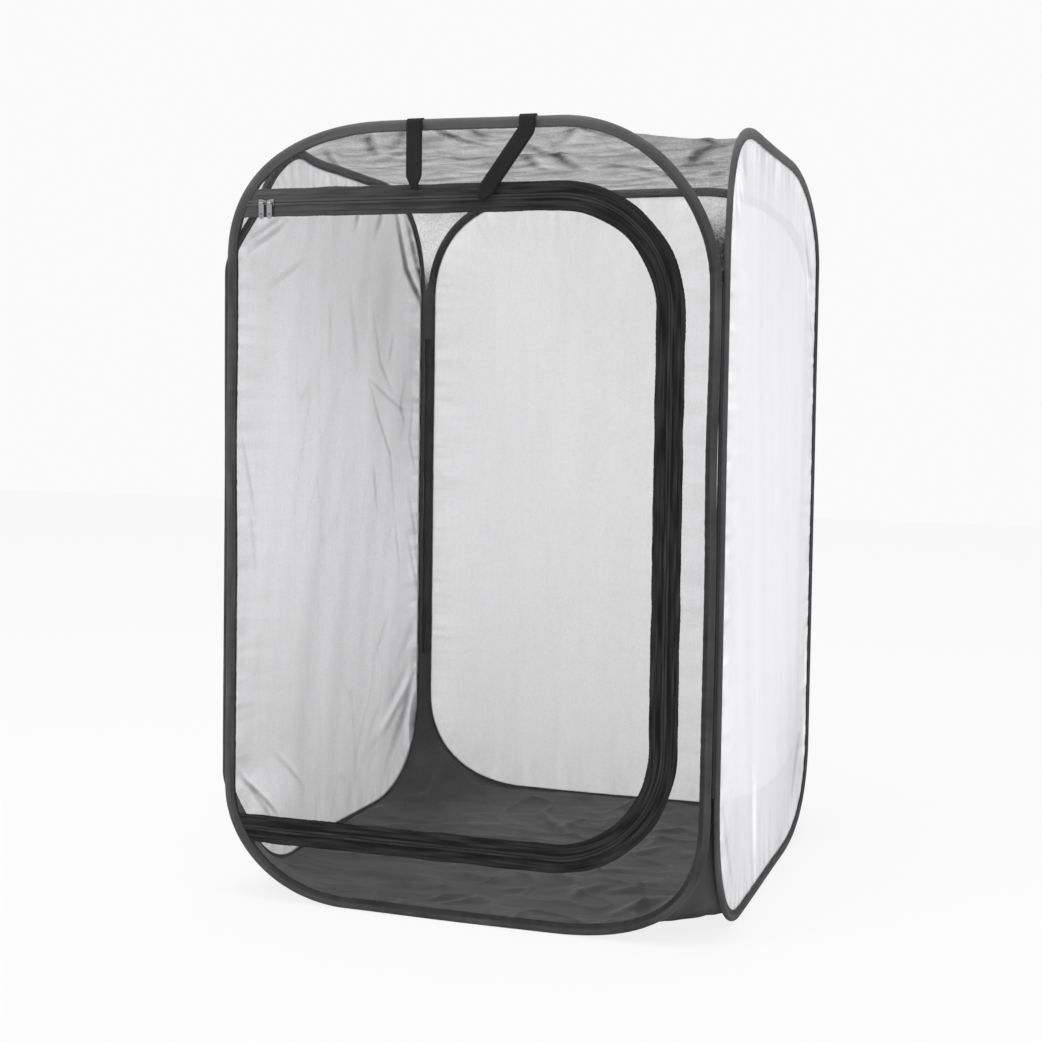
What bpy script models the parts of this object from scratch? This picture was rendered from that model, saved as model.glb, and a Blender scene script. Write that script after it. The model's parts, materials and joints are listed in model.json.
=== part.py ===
"""Collapsible butterfly cage: four spring-wire hoops, one for each wall, bound in tape and joined at
the upright edges, with netting on the walls and top, a cloth floor and a zipped door in the front.

The frame is in metres with +Z up. The origin is on the ground under the middle of the cage, the front
wall faces -Y, and the door's free side and the right wall are towards +X.
"""

import math

import bmesh
import bpy
from mathutils import Matrix, Vector

# the four hoops, measured over their binding tape
HOOP_WIDTH = 0.596
SIDE_HOOP_WIDTH = 0.596
HOOP_HEIGHT = 0.915

# spring wire, and the sleeve that joins its two ends in the bottom run
WIRE_RADIUS = 0.0015
WIRE_END_GAP = 0.0006
FERRULE_WALL = 0.0004
FERRULE_LENGTH = 0.030

# binding tape folded round the wire, with a flap on each side of the netting
BINDING_BORE_RADIUS = 0.0025
BINDING_WALL = 0.0011
BINDING_WIDTH = 0.0128
FLAP_WALL = 0.0010
BINDING_END_GAP = 0.0004
BINDING_HEM_LENGTH = 0.012
BINDING_HEM_RISE = 0.0005
BINDING_JOIN_SHARE = 0.105

# clearances
CLEARANCE = 0.0003
HINGE_GAP = 0.0004

# the hoops' corners: reach along the run and up the side as shares of CORNER_REACH, then fullness
CORNER_REACH = 0.165
FRONT_CORNER_SHARES = {
    "bottom_left": (0.95, 0.80, 0.55),
    "top_left": (1.18, 0.90, 0.63),
    "top_right": (1.10, 1.12, 0.52),
    "bottom_right": (1.07, 0.84, 0.68),
}
SIDE_CORNER_SHARES = {
    "bottom_left": (0.75, 1.00, 0.61),
    "top_left": (0.92, 0.98, 0.74),
    "top_right": (1.40, 0.72, 0.55),
    "bottom_right": (1.15, 0.72, 0.64),
}
PLAIN_CORNER_SHARES = {
    "bottom_left": (1.00, 0.88, 0.62),
    "top_left": (1.00, 0.95, 0.62),
    "top_right": (1.00, 0.95, 0.62),
    "bottom_right": (1.00, 0.88, 0.62),
}
CORNER_STEPS = 8

# netting and floor cloth
NET_THICKNESS = 0.0006
NET_EDGE_DEPTH = 0.0040
CLOTH_THICKNESS = 0.0008
CLOTH_SEAM_DEPTH = 0.0060
TOP_SAG = 0.010
FLOOR_REST_HEIGHT = 0.0016
WRINKLE_HEIGHT = 0.0022
WRINKLE_LENGTH = 0.145
CLOTH_MIDDLE_STEPS = 8
CLOTH_STRIP_STEPS = 4

# zip round three sides of the door
ZIP_TOP_FROM_EDGE = 0.0890
ZIP_BOTTOM_HEIGHT = 0.085
ZIP_SIDE_FROM_EDGE = 0.0550
ZIP_CORNER_RADIUS = 0.130
ZIP_CORNER_STEPS = 8
ZIP_TAPE_WIDTH = 0.0165
ZIP_TAPE_THICKNESS = 0.0008
ZIP_HALF_GAP = 0.0007
ZIP_COIL_WIDTH = 0.0025
ZIP_COIL_THICKNESS = 0.0018
ZIP_NET_SETBACK = 0.0048
ZIP_TAPE_SETBACK = 0.0040
ZIP_STOP_LENGTH = 0.0040
ZIP_STOP_HALF_HEIGHT = 0.0034
ZIP_STOP_SETBACK = 0.0055
ZIP_STOP_THICKNESS = 0.0022
DOOR_EDGE_GAP = 0.0003

# the two sliders and their pulls
SLIDER_LENGTH = 0.0090
SLIDER_WIDTH = 0.0084
SLIDER_NOSE_SHARE = 0.62
SLIDER_PLATE = 0.0011
SLIDER_PLATE_GAP = 0.0005
SLIDER_POST_LENGTH = 0.0030
SLIDER_POST_THICKNESS = 0.0008
SLIDER_FROM_DOOR_EDGE = 0.0330
SLIDER_SPACING = 0.0105
BRIDGE_BAR_RADIUS = 0.0006
BRIDGE_HALF_SPAN = 0.0032
BRIDGE_LEG = 0.0010
PULL_EYE_WALL = 0.0006
PULL_EYE_LENGTH = 0.0044
PULL_THICKNESS = 0.0008
PULL_WIDTH = 0.0066
PULL_LENGTH = 0.0190
PULL_TIP_LENGTH = 0.0035
PULL_TIP_WIDTH = 0.0026
PULL_HOLE_RADIUS = 0.0009
PULL_HOLE_FROM_TIP = 0.0058
ROUND_STEPS = 12

# the two straps over the front hoop's top run
STRAP_WIDTH = 0.019
STRAP_THICKNESS = 0.0015
STRAP_BACK_DEPTH = 0.0030
STRAP_FRONT_DEPTH = 0.0120
STRAP_TIP_LENGTH = 0.014
STRAP_TIP_WIDTH = 0.006
STRAP_TOP_SHARES = (0.85, 0.6, 0.25)
STRAP_LEFT_X = -0.0590
STRAP_LEFT_TAIL = 0.050
STRAP_LEFT_LEAN = math.radians(0)
STRAP_RIGHT_X = 0.0760
STRAP_RIGHT_TAIL = 0.082
STRAP_RIGHT_LEAN = math.radians(36)
STRAP_BEND_STEPS = 8

# tape loop at the bottom of the back left corner
LOOP_WIDTH = 0.0110
LOOP_INNER_LEG = 0.0040
LOOP_THICKNESS = 0.0014
LOOP_TOP_HEIGHT = 0.162
LOOP_HEIGHT = 0.148
LOOP_REACH = 0.0240
LOOP_HOLE_BELOW_TOP = 0.0210
LOOP_HOLE_HEIGHT = 0.056
LOOP_STEPS = 12

# what follows from the sizes above
ZIP_TOP_HEIGHT = HOOP_HEIGHT - ZIP_TOP_FROM_EDGE
BULGE = BINDING_BORE_RADIUS + BINDING_WALL
OCTAGON_HALF_STEP = math.pi / 8
STRAP_BEND_RADIUS = BULGE / math.cos(OCTAGON_HALF_STEP) + CLEARANCE
SEAM_RADIUS = math.sqrt(2) * (BULGE + HINGE_GAP) - BULGE - CLEARANCE
HINGE_X = HOOP_WIDTH / 2 + HINGE_GAP
HINGE_Y = SIDE_HOOP_WIDTH / 2 + HINGE_GAP
FRONT_PLANE = -(HINGE_Y + HINGE_GAP + BULGE)
SIDE_PLANE = HINGE_X + HINGE_GAP + BULGE
FLAP_INNER = NET_THICKNESS / 2 + CLEARANCE
FLAP_OUTER = FLAP_INNER + FLAP_WALL
FLAP_REACH = BINDING_WIDTH - BULGE
DOOR_EDGE_X = -(HOOP_WIDTH / 2 - BINDING_WIDTH) + DOOR_EDGE_GAP
DOOR_HINGE_DEPTH = FLAP_OUTER + CLEARANCE + NET_THICKNESS / 2
ZIP_SIDE_X = HOOP_WIDTH / 2 - ZIP_SIDE_FROM_EDGE
TAPE_BACK = FLAP_INNER
TAPE_FRONT = TAPE_BACK + ZIP_TAPE_THICKNESS
COIL_FRONT = NET_THICKNESS / 2
COIL_BACK = ZIP_COIL_THICKNESS - COIL_FRONT
SLIDER_FRONT = TAPE_FRONT + SLIDER_PLATE_GAP
SLIDER_BACK = COIL_BACK + SLIDER_PLATE_GAP
PULL_EYE_BORE = BRIDGE_BAR_RADIUS + CLEARANCE
PULL_EYE_RADIUS = PULL_EYE_BORE + PULL_EYE_WALL
BRIDGE_DEPTH = SLIDER_FRONT + SLIDER_PLATE + CLEARANCE + PULL_EYE_RADIUS

# each wall as its origin, the direction along its run and its inward normal
WALLS = {
    "front": (Vector((0, FRONT_PLANE, 0)), Vector((1, 0, 0)), Vector((0, 1, 0))),
    "right": (Vector((SIDE_PLANE, 0, 0)), Vector((0, 1, 0)), Vector((-1, 0, 0))),
    "back": (Vector((0, -FRONT_PLANE, 0)), Vector((-1, 0, 0)), Vector((0, -1, 0))),
    "left": (Vector((-SIDE_PLANE, 0, 0)), Vector((0, -1, 0)), Vector((1, 0, 0))),
}
WALL_WIDTHS = {
    "front": HOOP_WIDTH,
    "right": SIDE_HOOP_WIDTH,
    "back": HOOP_WIDTH,
    "left": SIDE_HOOP_WIDTH,
}
WALL_CORNERS = {
    "front": FRONT_CORNER_SHARES,
    "right": SIDE_CORNER_SHARES,
    "back": PLAIN_CORNER_SHARES,
    "left": PLAIN_CORNER_SHARES,
}
# the cage's upright edges, each as the wall that ends there and the next wall round the cage
EDGES = {
    "front_right": ("front", "right"),
    "back_right": ("right", "back"),
    "back_left": ("back", "left"),
    "front_left": ("left", "front"),
}


def clear_scene():
    for obj in list(bpy.data.objects):
        bpy.data.objects.remove(obj, do_unlink=True)


def material(name, colour, roughness, metallic=0.0):
    found = bpy.data.materials.get(name) or bpy.data.materials.new(name)
    found.use_nodes = True
    shader = found.node_tree.nodes["Principled BSDF"]
    shader.inputs["Base Color"].default_value = (*colour, 1.0)
    shader.inputs["Roughness"].default_value = roughness
    shader.inputs["Metallic"].default_value = metallic
    return found


def make_materials():
    material("spring_steel", (0.42, 0.42, 0.43), 0.35, 1.0)
    material("binding_tape", (0.085, 0.085, 0.09), 0.85)
    material("white_net", (0.86, 0.86, 0.87), 0.80)
    material("dark_net", (0.050, 0.050, 0.055), 0.80)
    material("floor_cloth", (0.055, 0.055, 0.06), 0.80)
    material("zip_tape", (0.022, 0.022, 0.024), 0.75)
    material("zip_coil", (0.030, 0.030, 0.032), 0.45)
    material("zip_metal", (0.75, 0.75, 0.76), 0.25, 1.0)
    material("webbing", (0.018, 0.018, 0.020), 0.80)


def wall_point(wall, along, height, inward):
    origin, run, normal = WALLS[wall]
    return origin + run * along + Vector((0, 0, height)) + normal * inward


def new_object(name, bm, slot, origin=Vector((0, 0, 0))):
    """Make one object from bm, with its origin at the given point of the cage's frame."""
    bmesh.ops.recalc_face_normals(bm, faces=bm.faces)
    bmesh.ops.translate(bm, verts=bm.verts, vec=-origin)
    mesh = bpy.data.meshes.new(name)
    bm.to_mesh(mesh)
    bm.free()
    obj = bpy.data.objects.new(name, mesh)
    obj.location = origin
    bpy.context.scene.collection.objects.link(obj)
    mesh.materials.append(bpy.data.materials[slot])
    mesh.shade_smooth()
    mesh.set_sharp_from_angle(angle=math.radians(35))
    return obj


def boolean(target, tool, operation):
    """Join tool to target or cut it out of target, and remove the tool."""
    bpy.context.view_layer.update()
    modifier = target.modifiers.new(operation.lower(), "BOOLEAN")
    modifier.operation = operation
    modifier.object = tool
    modifier.solver = "EXACT"
    graph = bpy.context.evaluated_depsgraph_get()
    mesh = bpy.data.meshes.new_from_object(target.evaluated_get(graph))
    target.modifiers.remove(modifier)
    target.data = mesh
    bpy.data.objects.remove(tool, do_unlink=True)


def corner_curve(across, up, fullness):
    """Points of one corner as (distance from the side, distance from the run), run end first."""
    points = []
    for step in range(CORNER_STEPS + 1):
        t = step / CORNER_STEPS
        near = (1 - t) ** 3 + 3 * (1 - t) ** 2 * t * (1 - fullness)
        far = t**3 + 3 * t**2 * (1 - t) * (1 - fullness)
        points.append((across * near, up * far))
    return points


def hoop_corner(wall, corner):
    """The wire's middle line round one corner, as (along, height) from the run to the side."""
    across_share, up_share, fullness = WALL_CORNERS[wall][corner]
    half = WALL_WIDTHS[wall] / 2 - BULGE
    side = 1 if corner.endswith("right") else -1
    points = []
    for x, z in corner_curve(across_share * CORNER_REACH, up_share * CORNER_REACH, fullness):
        height = BULGE + z if corner.startswith("bottom") else HOOP_HEIGHT - BULGE - z
        points.append((side * (half - x), height))
    return points


def hoop_loop(wall):
    """The wire's middle line as a closed list, from the bottom left corner's run end rightwards."""
    loop = hoop_corner(wall, "bottom_right")
    loop += hoop_corner(wall, "top_right")[::-1]
    loop += hoop_corner(wall, "top_left")
    loop += hoop_corner(wall, "bottom_left")[::-1]
    return loop


def outward_normals(loop):
    """Unit normals of a hoop's loop, pointing outward, and square to the straight stretches."""
    normals = []
    size = CORNER_STEPS + 1
    for i, point in enumerate(loop):
        before = loop[i - 1]
        after = loop[(i + 1) % len(loop)]
        if i % size == 0:
            after = point
        elif i % size == CORNER_STEPS:
            before = point
        dx = after[0] - before[0]
        dz = after[1] - before[1]
        length = math.hypot(dx, dz)
        normals.append((dz / length, -dx / length))
    return normals


def offset_loop(wall, outward):
    loop = hoop_loop(wall)
    return [
        (x + nx * outward, z + nz * outward)
        for (x, z), (nx, nz) in zip(loop, outward_normals(loop))
    ]


def corner_start(corner):
    """Where a corner's points start in the list of the hoop's loop."""
    order = ["bottom_right", "top_right", "top_left", "bottom_left"]
    return order.index(corner) * (CORNER_STEPS + 1)


def offset_corner(wall, corner, outward):
    """One corner of the offset loop, from the run to the side."""
    start = corner_start(corner)
    points = offset_loop(wall, outward)[start : start + CORNER_STEPS + 1]
    return points if corner in ("bottom_right", "top_left") else points[::-1]


def join_place(wall):
    """Where the binding's two ends meet and the wire's ends are sleeved, along the bottom run."""
    return -BINDING_JOIN_SHARE * WALL_WIDTHS[wall]


def open_hoop(wall, gap):
    """The wire's middle line cut open in the bottom run, with its outward normals."""
    loop = hoop_loop(wall)
    start = (join_place(wall) + gap / 2, BULGE)
    end = (join_place(wall) - gap / 2, BULGE)
    path = [start] + loop + [end]
    normals = [(0.0, -1.0)] + outward_normals(loop) + [(0.0, -1.0)]
    return path, normals


def sweep(wall, path, normals, sections):
    """Skin a closed section along an open path in a wall; each section lists (outward, inward)."""
    bm = bmesh.new()
    rings = []
    for (x, z), (nx, nz), section in zip(path, normals, sections):
        ring = [bm.verts.new(wall_point(wall, x + nx * u, z + nz * u, w)) for u, w in section]
        rings.append(ring)
    for ring, following in zip(rings, rings[1:]):
        for i in range(len(ring)):
            j = (i + 1) % len(ring)
            bm.faces.new((ring[i], ring[j], following[j], following[i]))
    bm.faces.new(rings[0])
    bm.faces.new(rings[-1][::-1])
    return bm


def arc_points(radius, start, end, steps):
    angles = [start + (end - start) * i / steps for i in range(steps + 1)]
    return [(radius * math.cos(a), radius * math.sin(a)) for a in angles]


def fold_points(radius, flap):
    """One face of the folded tape: an octagon round the wire whose last sides run into the flaps."""
    corner = radius * math.tan(OCTAGON_HALF_STEP)
    flap_start = flap - math.sqrt(2) * radius
    half = [(radius, corner), (corner, radius), (-corner, radius), (flap_start, flap)]
    half.append((-FLAP_REACH, flap))
    return [(u, -w) for u, w in half[::-1]] + half


def binding_section(rise):
    """Tape folded round the wire, open towards the netting. rise thickens its sides at a folded end."""
    wider = 1 + rise / BULGE
    section = [(u, w * wider) for u, w in fold_points(BULGE, FLAP_OUTER)]
    return section + fold_points(BINDING_BORE_RADIUS, FLAP_INNER)[::-1]


def build_binding(wall):
    path, normals = open_hoop(wall, BINDING_END_GAP)
    hem = (path[0][0] + BINDING_HEM_LENGTH, path[0][1])
    step = (hem[0] + BINDING_HEM_RISE, hem[1])
    path[1:1] = [hem, step]
    normals[1:1] = [normals[0], normals[0]]
    sections = [binding_section(BINDING_HEM_RISE)] * 2
    sections += [binding_section(0.0)] * (len(path) - 2)
    new_object(f"{wall}_binding", sweep(wall, path, normals, sections), "binding_tape")


def build_wire(wall):
    path, normals = open_hoop(wall, WIRE_END_GAP)
    section = arc_points(WIRE_RADIUS, 0, 2 * math.pi, 6)[:-1]
    new_object(f"{wall}_wire", sweep(wall, path, normals, [section] * len(path)), "spring_steel")


def build_ferrule(wall):
    """Steel sleeve over the wire's two ends, with its bore cut through."""
    centre = wall_point(wall, join_place(wall), BULGE, 0)
    run = WALLS[wall][1]
    turn = run.to_track_quat("Z", "Y").to_matrix().to_4x4()
    bore = WIRE_RADIUS + CLEARANCE
    bm = bmesh.new()
    rings = []
    for radius, end in ((bore, -1), (bore + FERRULE_WALL, -1), (bore + FERRULE_WALL, 1), (bore, 1)):
        place = Matrix.Translation(centre) @ turn
        ring = []
        for x, y in arc_points(radius, 0, 2 * math.pi, ROUND_STEPS)[:-1]:
            ring.append(bm.verts.new(place @ Vector((x, y, end * FERRULE_LENGTH / 2))))
        rings.append(ring)
    for k in range(4):
        ring, following = rings[k], rings[(k + 1) % 4]
        for i in range(ROUND_STEPS):
            j = (i + 1) % ROUND_STEPS
            bm.faces.new((ring[i], ring[j], following[j], following[i]))
    new_object(f"{wall}_ferrule", bm, "spring_steel")


def cut_caps(bm, caps):
    """Cut flat, possibly hollow-sided caps into triangles that stay inside their outline."""
    for cap in caps:
        cap.normal_update()
    bmesh.ops.triangulate(bm, faces=caps, ngon_method="EAR_CLIP")


def plate(wall, outline, front, back):
    """A flat plate in a wall's plane, from depth front to depth back along the inward normal."""
    bm = bmesh.new()
    near = [bm.verts.new(wall_point(wall, x, z, front)) for x, z in outline]
    far = [bm.verts.new(wall_point(wall, x, z, back)) for x, z in outline]
    caps = [bm.faces.new(near), bm.faces.new(far[::-1])]
    for i in range(len(outline)):
        j = (i + 1) % len(outline)
        bm.faces.new((near[j], near[i], far[i], far[j]))
    cut_caps(bm, caps)
    return bm


def build_wall_net(wall):
    outline = offset_loop(wall, -NET_EDGE_DEPTH)
    bm = plate(wall, outline, -NET_THICKNESS / 2, NET_THICKNESS / 2)
    new_object(f"{wall}_net", bm, "white_net")


def crossing(a, b, height):
    share = (height - a[1]) / (b[1] - a[1])
    return (a[0] + (b[0] - a[0]) * share, height)


def left_side_x(loop, height):
    """Where the left half of a front loop crosses a height."""
    for a, b in zip(loop, loop[1:] + loop[:1]):
        if max(a[0], b[0]) < 0 and min(a[1], b[1]) <= height <= max(a[1], b[1]) and a[1] != b[1]:
            return crossing(a, b, height)[0]
    return None


def zip_line(outward):
    """The zip's line from the top left round to the bottom left, moved outward from the door."""
    radius = ZIP_CORNER_RADIUS + outward
    right = ZIP_SIDE_X - ZIP_CORNER_RADIUS
    top = ZIP_TOP_HEIGHT - ZIP_CORNER_RADIUS
    bottom = ZIP_BOTTOM_HEIGHT + ZIP_CORNER_RADIUS
    points = []
    for x, z in arc_points(radius, math.pi / 2, 0, ZIP_CORNER_STEPS):
        points.append((right + x, top + z))
    for x, z in arc_points(radius, 0, -math.pi / 2, ZIP_CORNER_STEPS):
        points.append((right + x, bottom + z))
    return points


def zip_strip(inner, outer, setback, slant):
    """Outline between two lines of the zip. With slant 1 its left ends follow the binding's inner
    edge, and with slant 0 they are square to the zip."""
    edge = offset_loop("front", -FLAP_REACH)
    lines = []
    for outward in (inner, outer):
        top = ZIP_TOP_HEIGHT + outward
        bottom = ZIP_BOTTOM_HEIGHT - outward
        start = (left_side_x(edge, ZIP_TOP_HEIGHT + outward * slant) + setback, top)
        end = (left_side_x(edge, ZIP_BOTTOM_HEIGHT - outward * slant) + setback, bottom)
        lines.append([start] + zip_line(outward) + [end])
    return lines[0] + lines[1][::-1]


def build_surround_net():
    """Netting between the front hoop and the zip."""
    loop = offset_loop("front", -NET_EDGE_DEPTH)
    top = ZIP_TOP_HEIGHT + ZIP_NET_SETBACK
    bottom = ZIP_BOTTOM_HEIGHT - ZIP_NET_SETBACK
    outline = [(left_side_x(loop, bottom), bottom)]
    low = [p for p in loop if p[0] < 0 and p[1] < bottom]
    high = [p for p in loop if p[0] < 0 and p[1] > top]
    right = [p for p in loop if p[0] >= 0]
    outline += low + right + high
    outline.append((left_side_x(loop, top), top))
    outline += zip_line(ZIP_NET_SETBACK)
    bm = plate("front", outline, -NET_THICKNESS / 2, NET_THICKNESS / 2)
    new_object("front_surround_net", bm, "dark_net")


def build_door_net():
    """Netting of the door, hinged where it is sewn along the front hoop's left binding."""
    loop = offset_loop("front", -(FLAP_REACH + DOOR_EDGE_GAP))
    top = ZIP_TOP_HEIGHT - ZIP_NET_SETBACK
    bottom = ZIP_BOTTOM_HEIGHT + ZIP_NET_SETBACK
    outline = [(left_side_x(loop, top), top)]
    outline += [p for p in loop if p[0] < 0 and bottom < p[1] < top]
    outline.append((left_side_x(loop, bottom), bottom))
    outline += zip_line(-ZIP_NET_SETBACK)[::-1]
    bm = plate("front", outline, -NET_THICKNESS / 2, NET_THICKNESS / 2)
    new_object("door_net", bm, "dark_net", door_hinge())


def door_hinge():
    return wall_point("front", DOOR_EDGE_X, 0, -DOOR_HINGE_DEPTH)


def build_zip_tapes():
    for name, side, origin in (
        ("zip_surround_tape", 1, Vector((0, 0, 0))),
        ("zip_door_tape", -1, door_hinge()),
    ):
        outline = zip_strip(side * ZIP_HALF_GAP, side * ZIP_TAPE_WIDTH, ZIP_TAPE_SETBACK, 1)
        new_object(name, plate("front", outline, -TAPE_FRONT, -TAPE_BACK), "zip_tape", origin)


def build_zip_coils():
    setback = ZIP_STOP_SETBACK + ZIP_STOP_LENGTH + CLEARANCE
    for name, side, origin in (
        ("zip_surround_coil", 1, Vector((0, 0, 0))),
        ("zip_door_coil", -1, door_hinge()),
    ):
        near = side * ZIP_HALF_GAP
        outline = zip_strip(near, near + side * ZIP_COIL_WIDTH, setback, 0)
        new_object(name, plate("front", outline, -COIL_FRONT, COIL_BACK), "zip_coil", origin)


def build_zip_stops():
    edge = offset_loop("front", -FLAP_REACH)
    for name, height in (("zip_top_stop", ZIP_TOP_HEIGHT), ("zip_bottom_stop", ZIP_BOTTOM_HEIGHT)):
        left = left_side_x(edge, height) + ZIP_STOP_SETBACK
        low = height - ZIP_STOP_HALF_HEIGHT
        high = height + ZIP_STOP_HALF_HEIGHT
        right = left + ZIP_STOP_LENGTH
        outline = [(left, low), (right, low), (right, high), (left, high)]
        bm = plate("front", outline, -COIL_FRONT, ZIP_STOP_THICKNESS)
        new_object(name, bm, "zip_metal")


def slider_x(side):
    """The middle of a slider at rest: the left one, then the right one."""
    first = DOOR_EDGE_X + SLIDER_FROM_DOOR_EDGE
    return first + (SLIDER_SPACING if side == "right" else 0.0)


def slider_plate(centre, nose):
    """Outline of a slider's plate, narrower at its nose."""
    half_length = SLIDER_LENGTH / 2
    half_width = SLIDER_WIDTH / 2
    narrow = half_width * SLIDER_NOSE_SHARE
    shoulder = half_length / 3
    outline = [
        (-half_length, -narrow),
        (shoulder, -half_width),
        (half_length, -half_width),
        (half_length, half_width),
        (shoulder, half_width),
        (-half_length, narrow),
    ]
    return [(centre + nose * x, ZIP_TOP_HEIGHT + z) for x, z in outline]


def box_outline(x0, x1, z0, z1):
    return [(x0, z0), (x1, z0), (x1, z1), (x0, z1)]


def build_slider(side):
    """A slider: two plates held together by a post between the coils, and a bridge in front."""
    centre = slider_x(side)
    nose = 1 if side == "right" else -1
    origin = wall_point("front", centre, ZIP_TOP_HEIGHT, 0)
    name = f"slider_{side}"
    outline = slider_plate(centre, nose)
    front = -(SLIDER_FRONT + SLIDER_PLATE)
    body = new_object(name, plate("front", outline, front, -SLIDER_FRONT), "zip_metal", origin)
    back = plate("front", outline, SLIDER_BACK, SLIDER_BACK + SLIDER_PLATE)
    parts = [new_object(name + "_back", back, "zip_metal")]
    tail = centre - nose * (SLIDER_LENGTH / 2 - SLIDER_POST_LENGTH)
    end = tail - nose * SLIDER_POST_LENGTH
    half_post = SLIDER_POST_THICKNESS / 2
    post = box_outline(tail, end, ZIP_TOP_HEIGHT - half_post, ZIP_TOP_HEIGHT + half_post)
    bite = SLIDER_PLATE / 2
    parts.append(
        new_object(
            name + "_post",
            plate("front", post, -SLIDER_FRONT - bite, SLIDER_BACK + bite),
            "zip_metal",
        )
    )
    half_leg = BRIDGE_LEG / 2
    for end_sign in (-1, 1):
        middle = centre + end_sign * BRIDGE_HALF_SPAN
        leg = box_outline(
            middle - half_leg, middle + half_leg, ZIP_TOP_HEIGHT - half_leg, ZIP_TOP_HEIGHT + half_leg
        )
        bm = plate("front", leg, -(BRIDGE_DEPTH + half_leg), -SLIDER_FRONT - bite)
        parts.append(new_object(name + "_leg", bm, "zip_metal"))
    bar = round_bar(centre, BRIDGE_HALF_SPAN, BRIDGE_BAR_RADIUS, BRIDGE_DEPTH)
    parts.append(new_object(name + "_bar", bar, "zip_metal"))
    for part in parts:
        boolean(body, part, "UNION")


def round_bar(centre, half_length, radius, depth):
    """A bar along the front wall's run, in front of the zip."""
    bm = bmesh.new()
    rings = []
    for end in (-1, 1):
        ring = []
        for a, b in arc_points(radius, 0, 2 * math.pi, ROUND_STEPS)[:-1]:
            point = wall_point("front", centre + end * half_length, ZIP_TOP_HEIGHT + a, b - depth)
            ring.append(bm.verts.new(point))
        rings.append(ring)
    for i in range(ROUND_STEPS):
        j = (i + 1) % ROUND_STEPS
        bm.faces.new((rings[0][i], rings[0][j], rings[1][j], rings[1][i]))
    bm.faces.new(rings[0][::-1])
    bm.faces.new(rings[1])
    return bm


def pull_pivot(side):
    return wall_point("front", slider_x(side), ZIP_TOP_HEIGHT, -BRIDGE_DEPTH)


def build_pull(side):
    """A pull: an eye rolled round the slider's bridge, and a flat tab with a hole near its tip."""
    centre = slider_x(side)
    name = f"pull_{side}"
    half = PULL_WIDTH / 2
    tip = PULL_TIP_WIDTH / 2
    low = ZIP_TOP_HEIGHT - PULL_LENGTH
    shoulder = low + PULL_TIP_LENGTH
    top = ZIP_TOP_HEIGHT - PULL_EYE_BORE - PULL_EYE_WALL / 2
    neck = PULL_EYE_LENGTH / 2
    outline = [
        (centre - tip, low),
        (centre + tip, low),
        (centre + half, shoulder),
        (centre + half, top - PULL_EYE_RADIUS),
        (centre + neck, top),
        (centre - neck, top),
        (centre - half, top - PULL_EYE_RADIUS),
        (centre - half, shoulder),
    ]
    front = -(BRIDGE_DEPTH + PULL_THICKNESS / 2)
    back = -(BRIDGE_DEPTH - PULL_THICKNESS / 2)
    body = new_object(name, plate("front", outline, front, back), "zip_metal", pull_pivot(side))
    eye = round_bar(centre, PULL_EYE_LENGTH / 2, PULL_EYE_RADIUS, BRIDGE_DEPTH)
    boolean(body, new_object(name + "_eye", eye, "zip_metal"), "UNION")
    bore = round_bar(centre, PULL_EYE_LENGTH, PULL_EYE_BORE, BRIDGE_DEPTH)
    boolean(body, new_object(name + "_bore", bore, "zip_metal"), "DIFFERENCE")
    hole_height = low + PULL_HOLE_FROM_TIP
    ring = arc_points(PULL_HOLE_RADIUS, 0, 2 * math.pi, ROUND_STEPS)[:-1]
    hole = [(centre + x, hole_height + z) for x, z in ring]
    cutter = plate("front", hole, front - PULL_THICKNESS, back + PULL_THICKNESS)
    boolean(body, new_object(name + "_hole", cutter, "zip_metal"), "DIFFERENCE")


def strap_pivot(x):
    """Where a strap's hanging end bends away from the part that is sewn over the hoop."""
    depth = STRAP_BEND_RADIUS + STRAP_THICKNESS / 2
    height = HOOP_HEIGHT - BULGE - STRAP_FRONT_DEPTH
    return wall_point("front", x, height, -depth)


def build_strap_wrap(name, x, lean):
    """The sewn part of a strap, over the front hoop's top run, its front end square to the tail."""
    inner = STRAP_BEND_RADIUS
    outer = inner + STRAP_THICKNESS
    top = HOOP_HEIGHT - BULGE
    gap = STRAP_THICKNESS
    bm = bmesh.new()
    rings = []
    for side in (-1, 1):
        edge = side * STRAP_WIDTH / 2
        front_end = top - STRAP_FRONT_DEPTH + gap / math.cos(lean) - edge * math.tan(lean)
        back_end = top - STRAP_BACK_DEPTH
        section = [(-outer, front_end)]
        section += [(-outer * math.cos(a), top + outer * math.sin(a)) for a in bend_angles()]
        section += [(outer, back_end), (inner, back_end)]
        section += [(inner * math.cos(a), top + inner * math.sin(a)) for a in bend_angles()]
        section += [(-inner, front_end)]
        rings.append([bm.verts.new(wall_point("front", x + edge, z, w)) for w, z in section])
    count = len(rings[0])
    for i in range(count):
        j = (i + 1) % count
        bm.faces.new((rings[0][i], rings[0][j], rings[1][j], rings[1][i]))
    caps = [bm.faces.new(rings[0][::-1]), bm.faces.new(rings[1])]
    cut_caps(bm, caps)
    new_object(name, bm, "webbing")


def bend_angles():
    return [math.pi * i / STRAP_BEND_STEPS for i in range(STRAP_BEND_STEPS + 1)]


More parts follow.
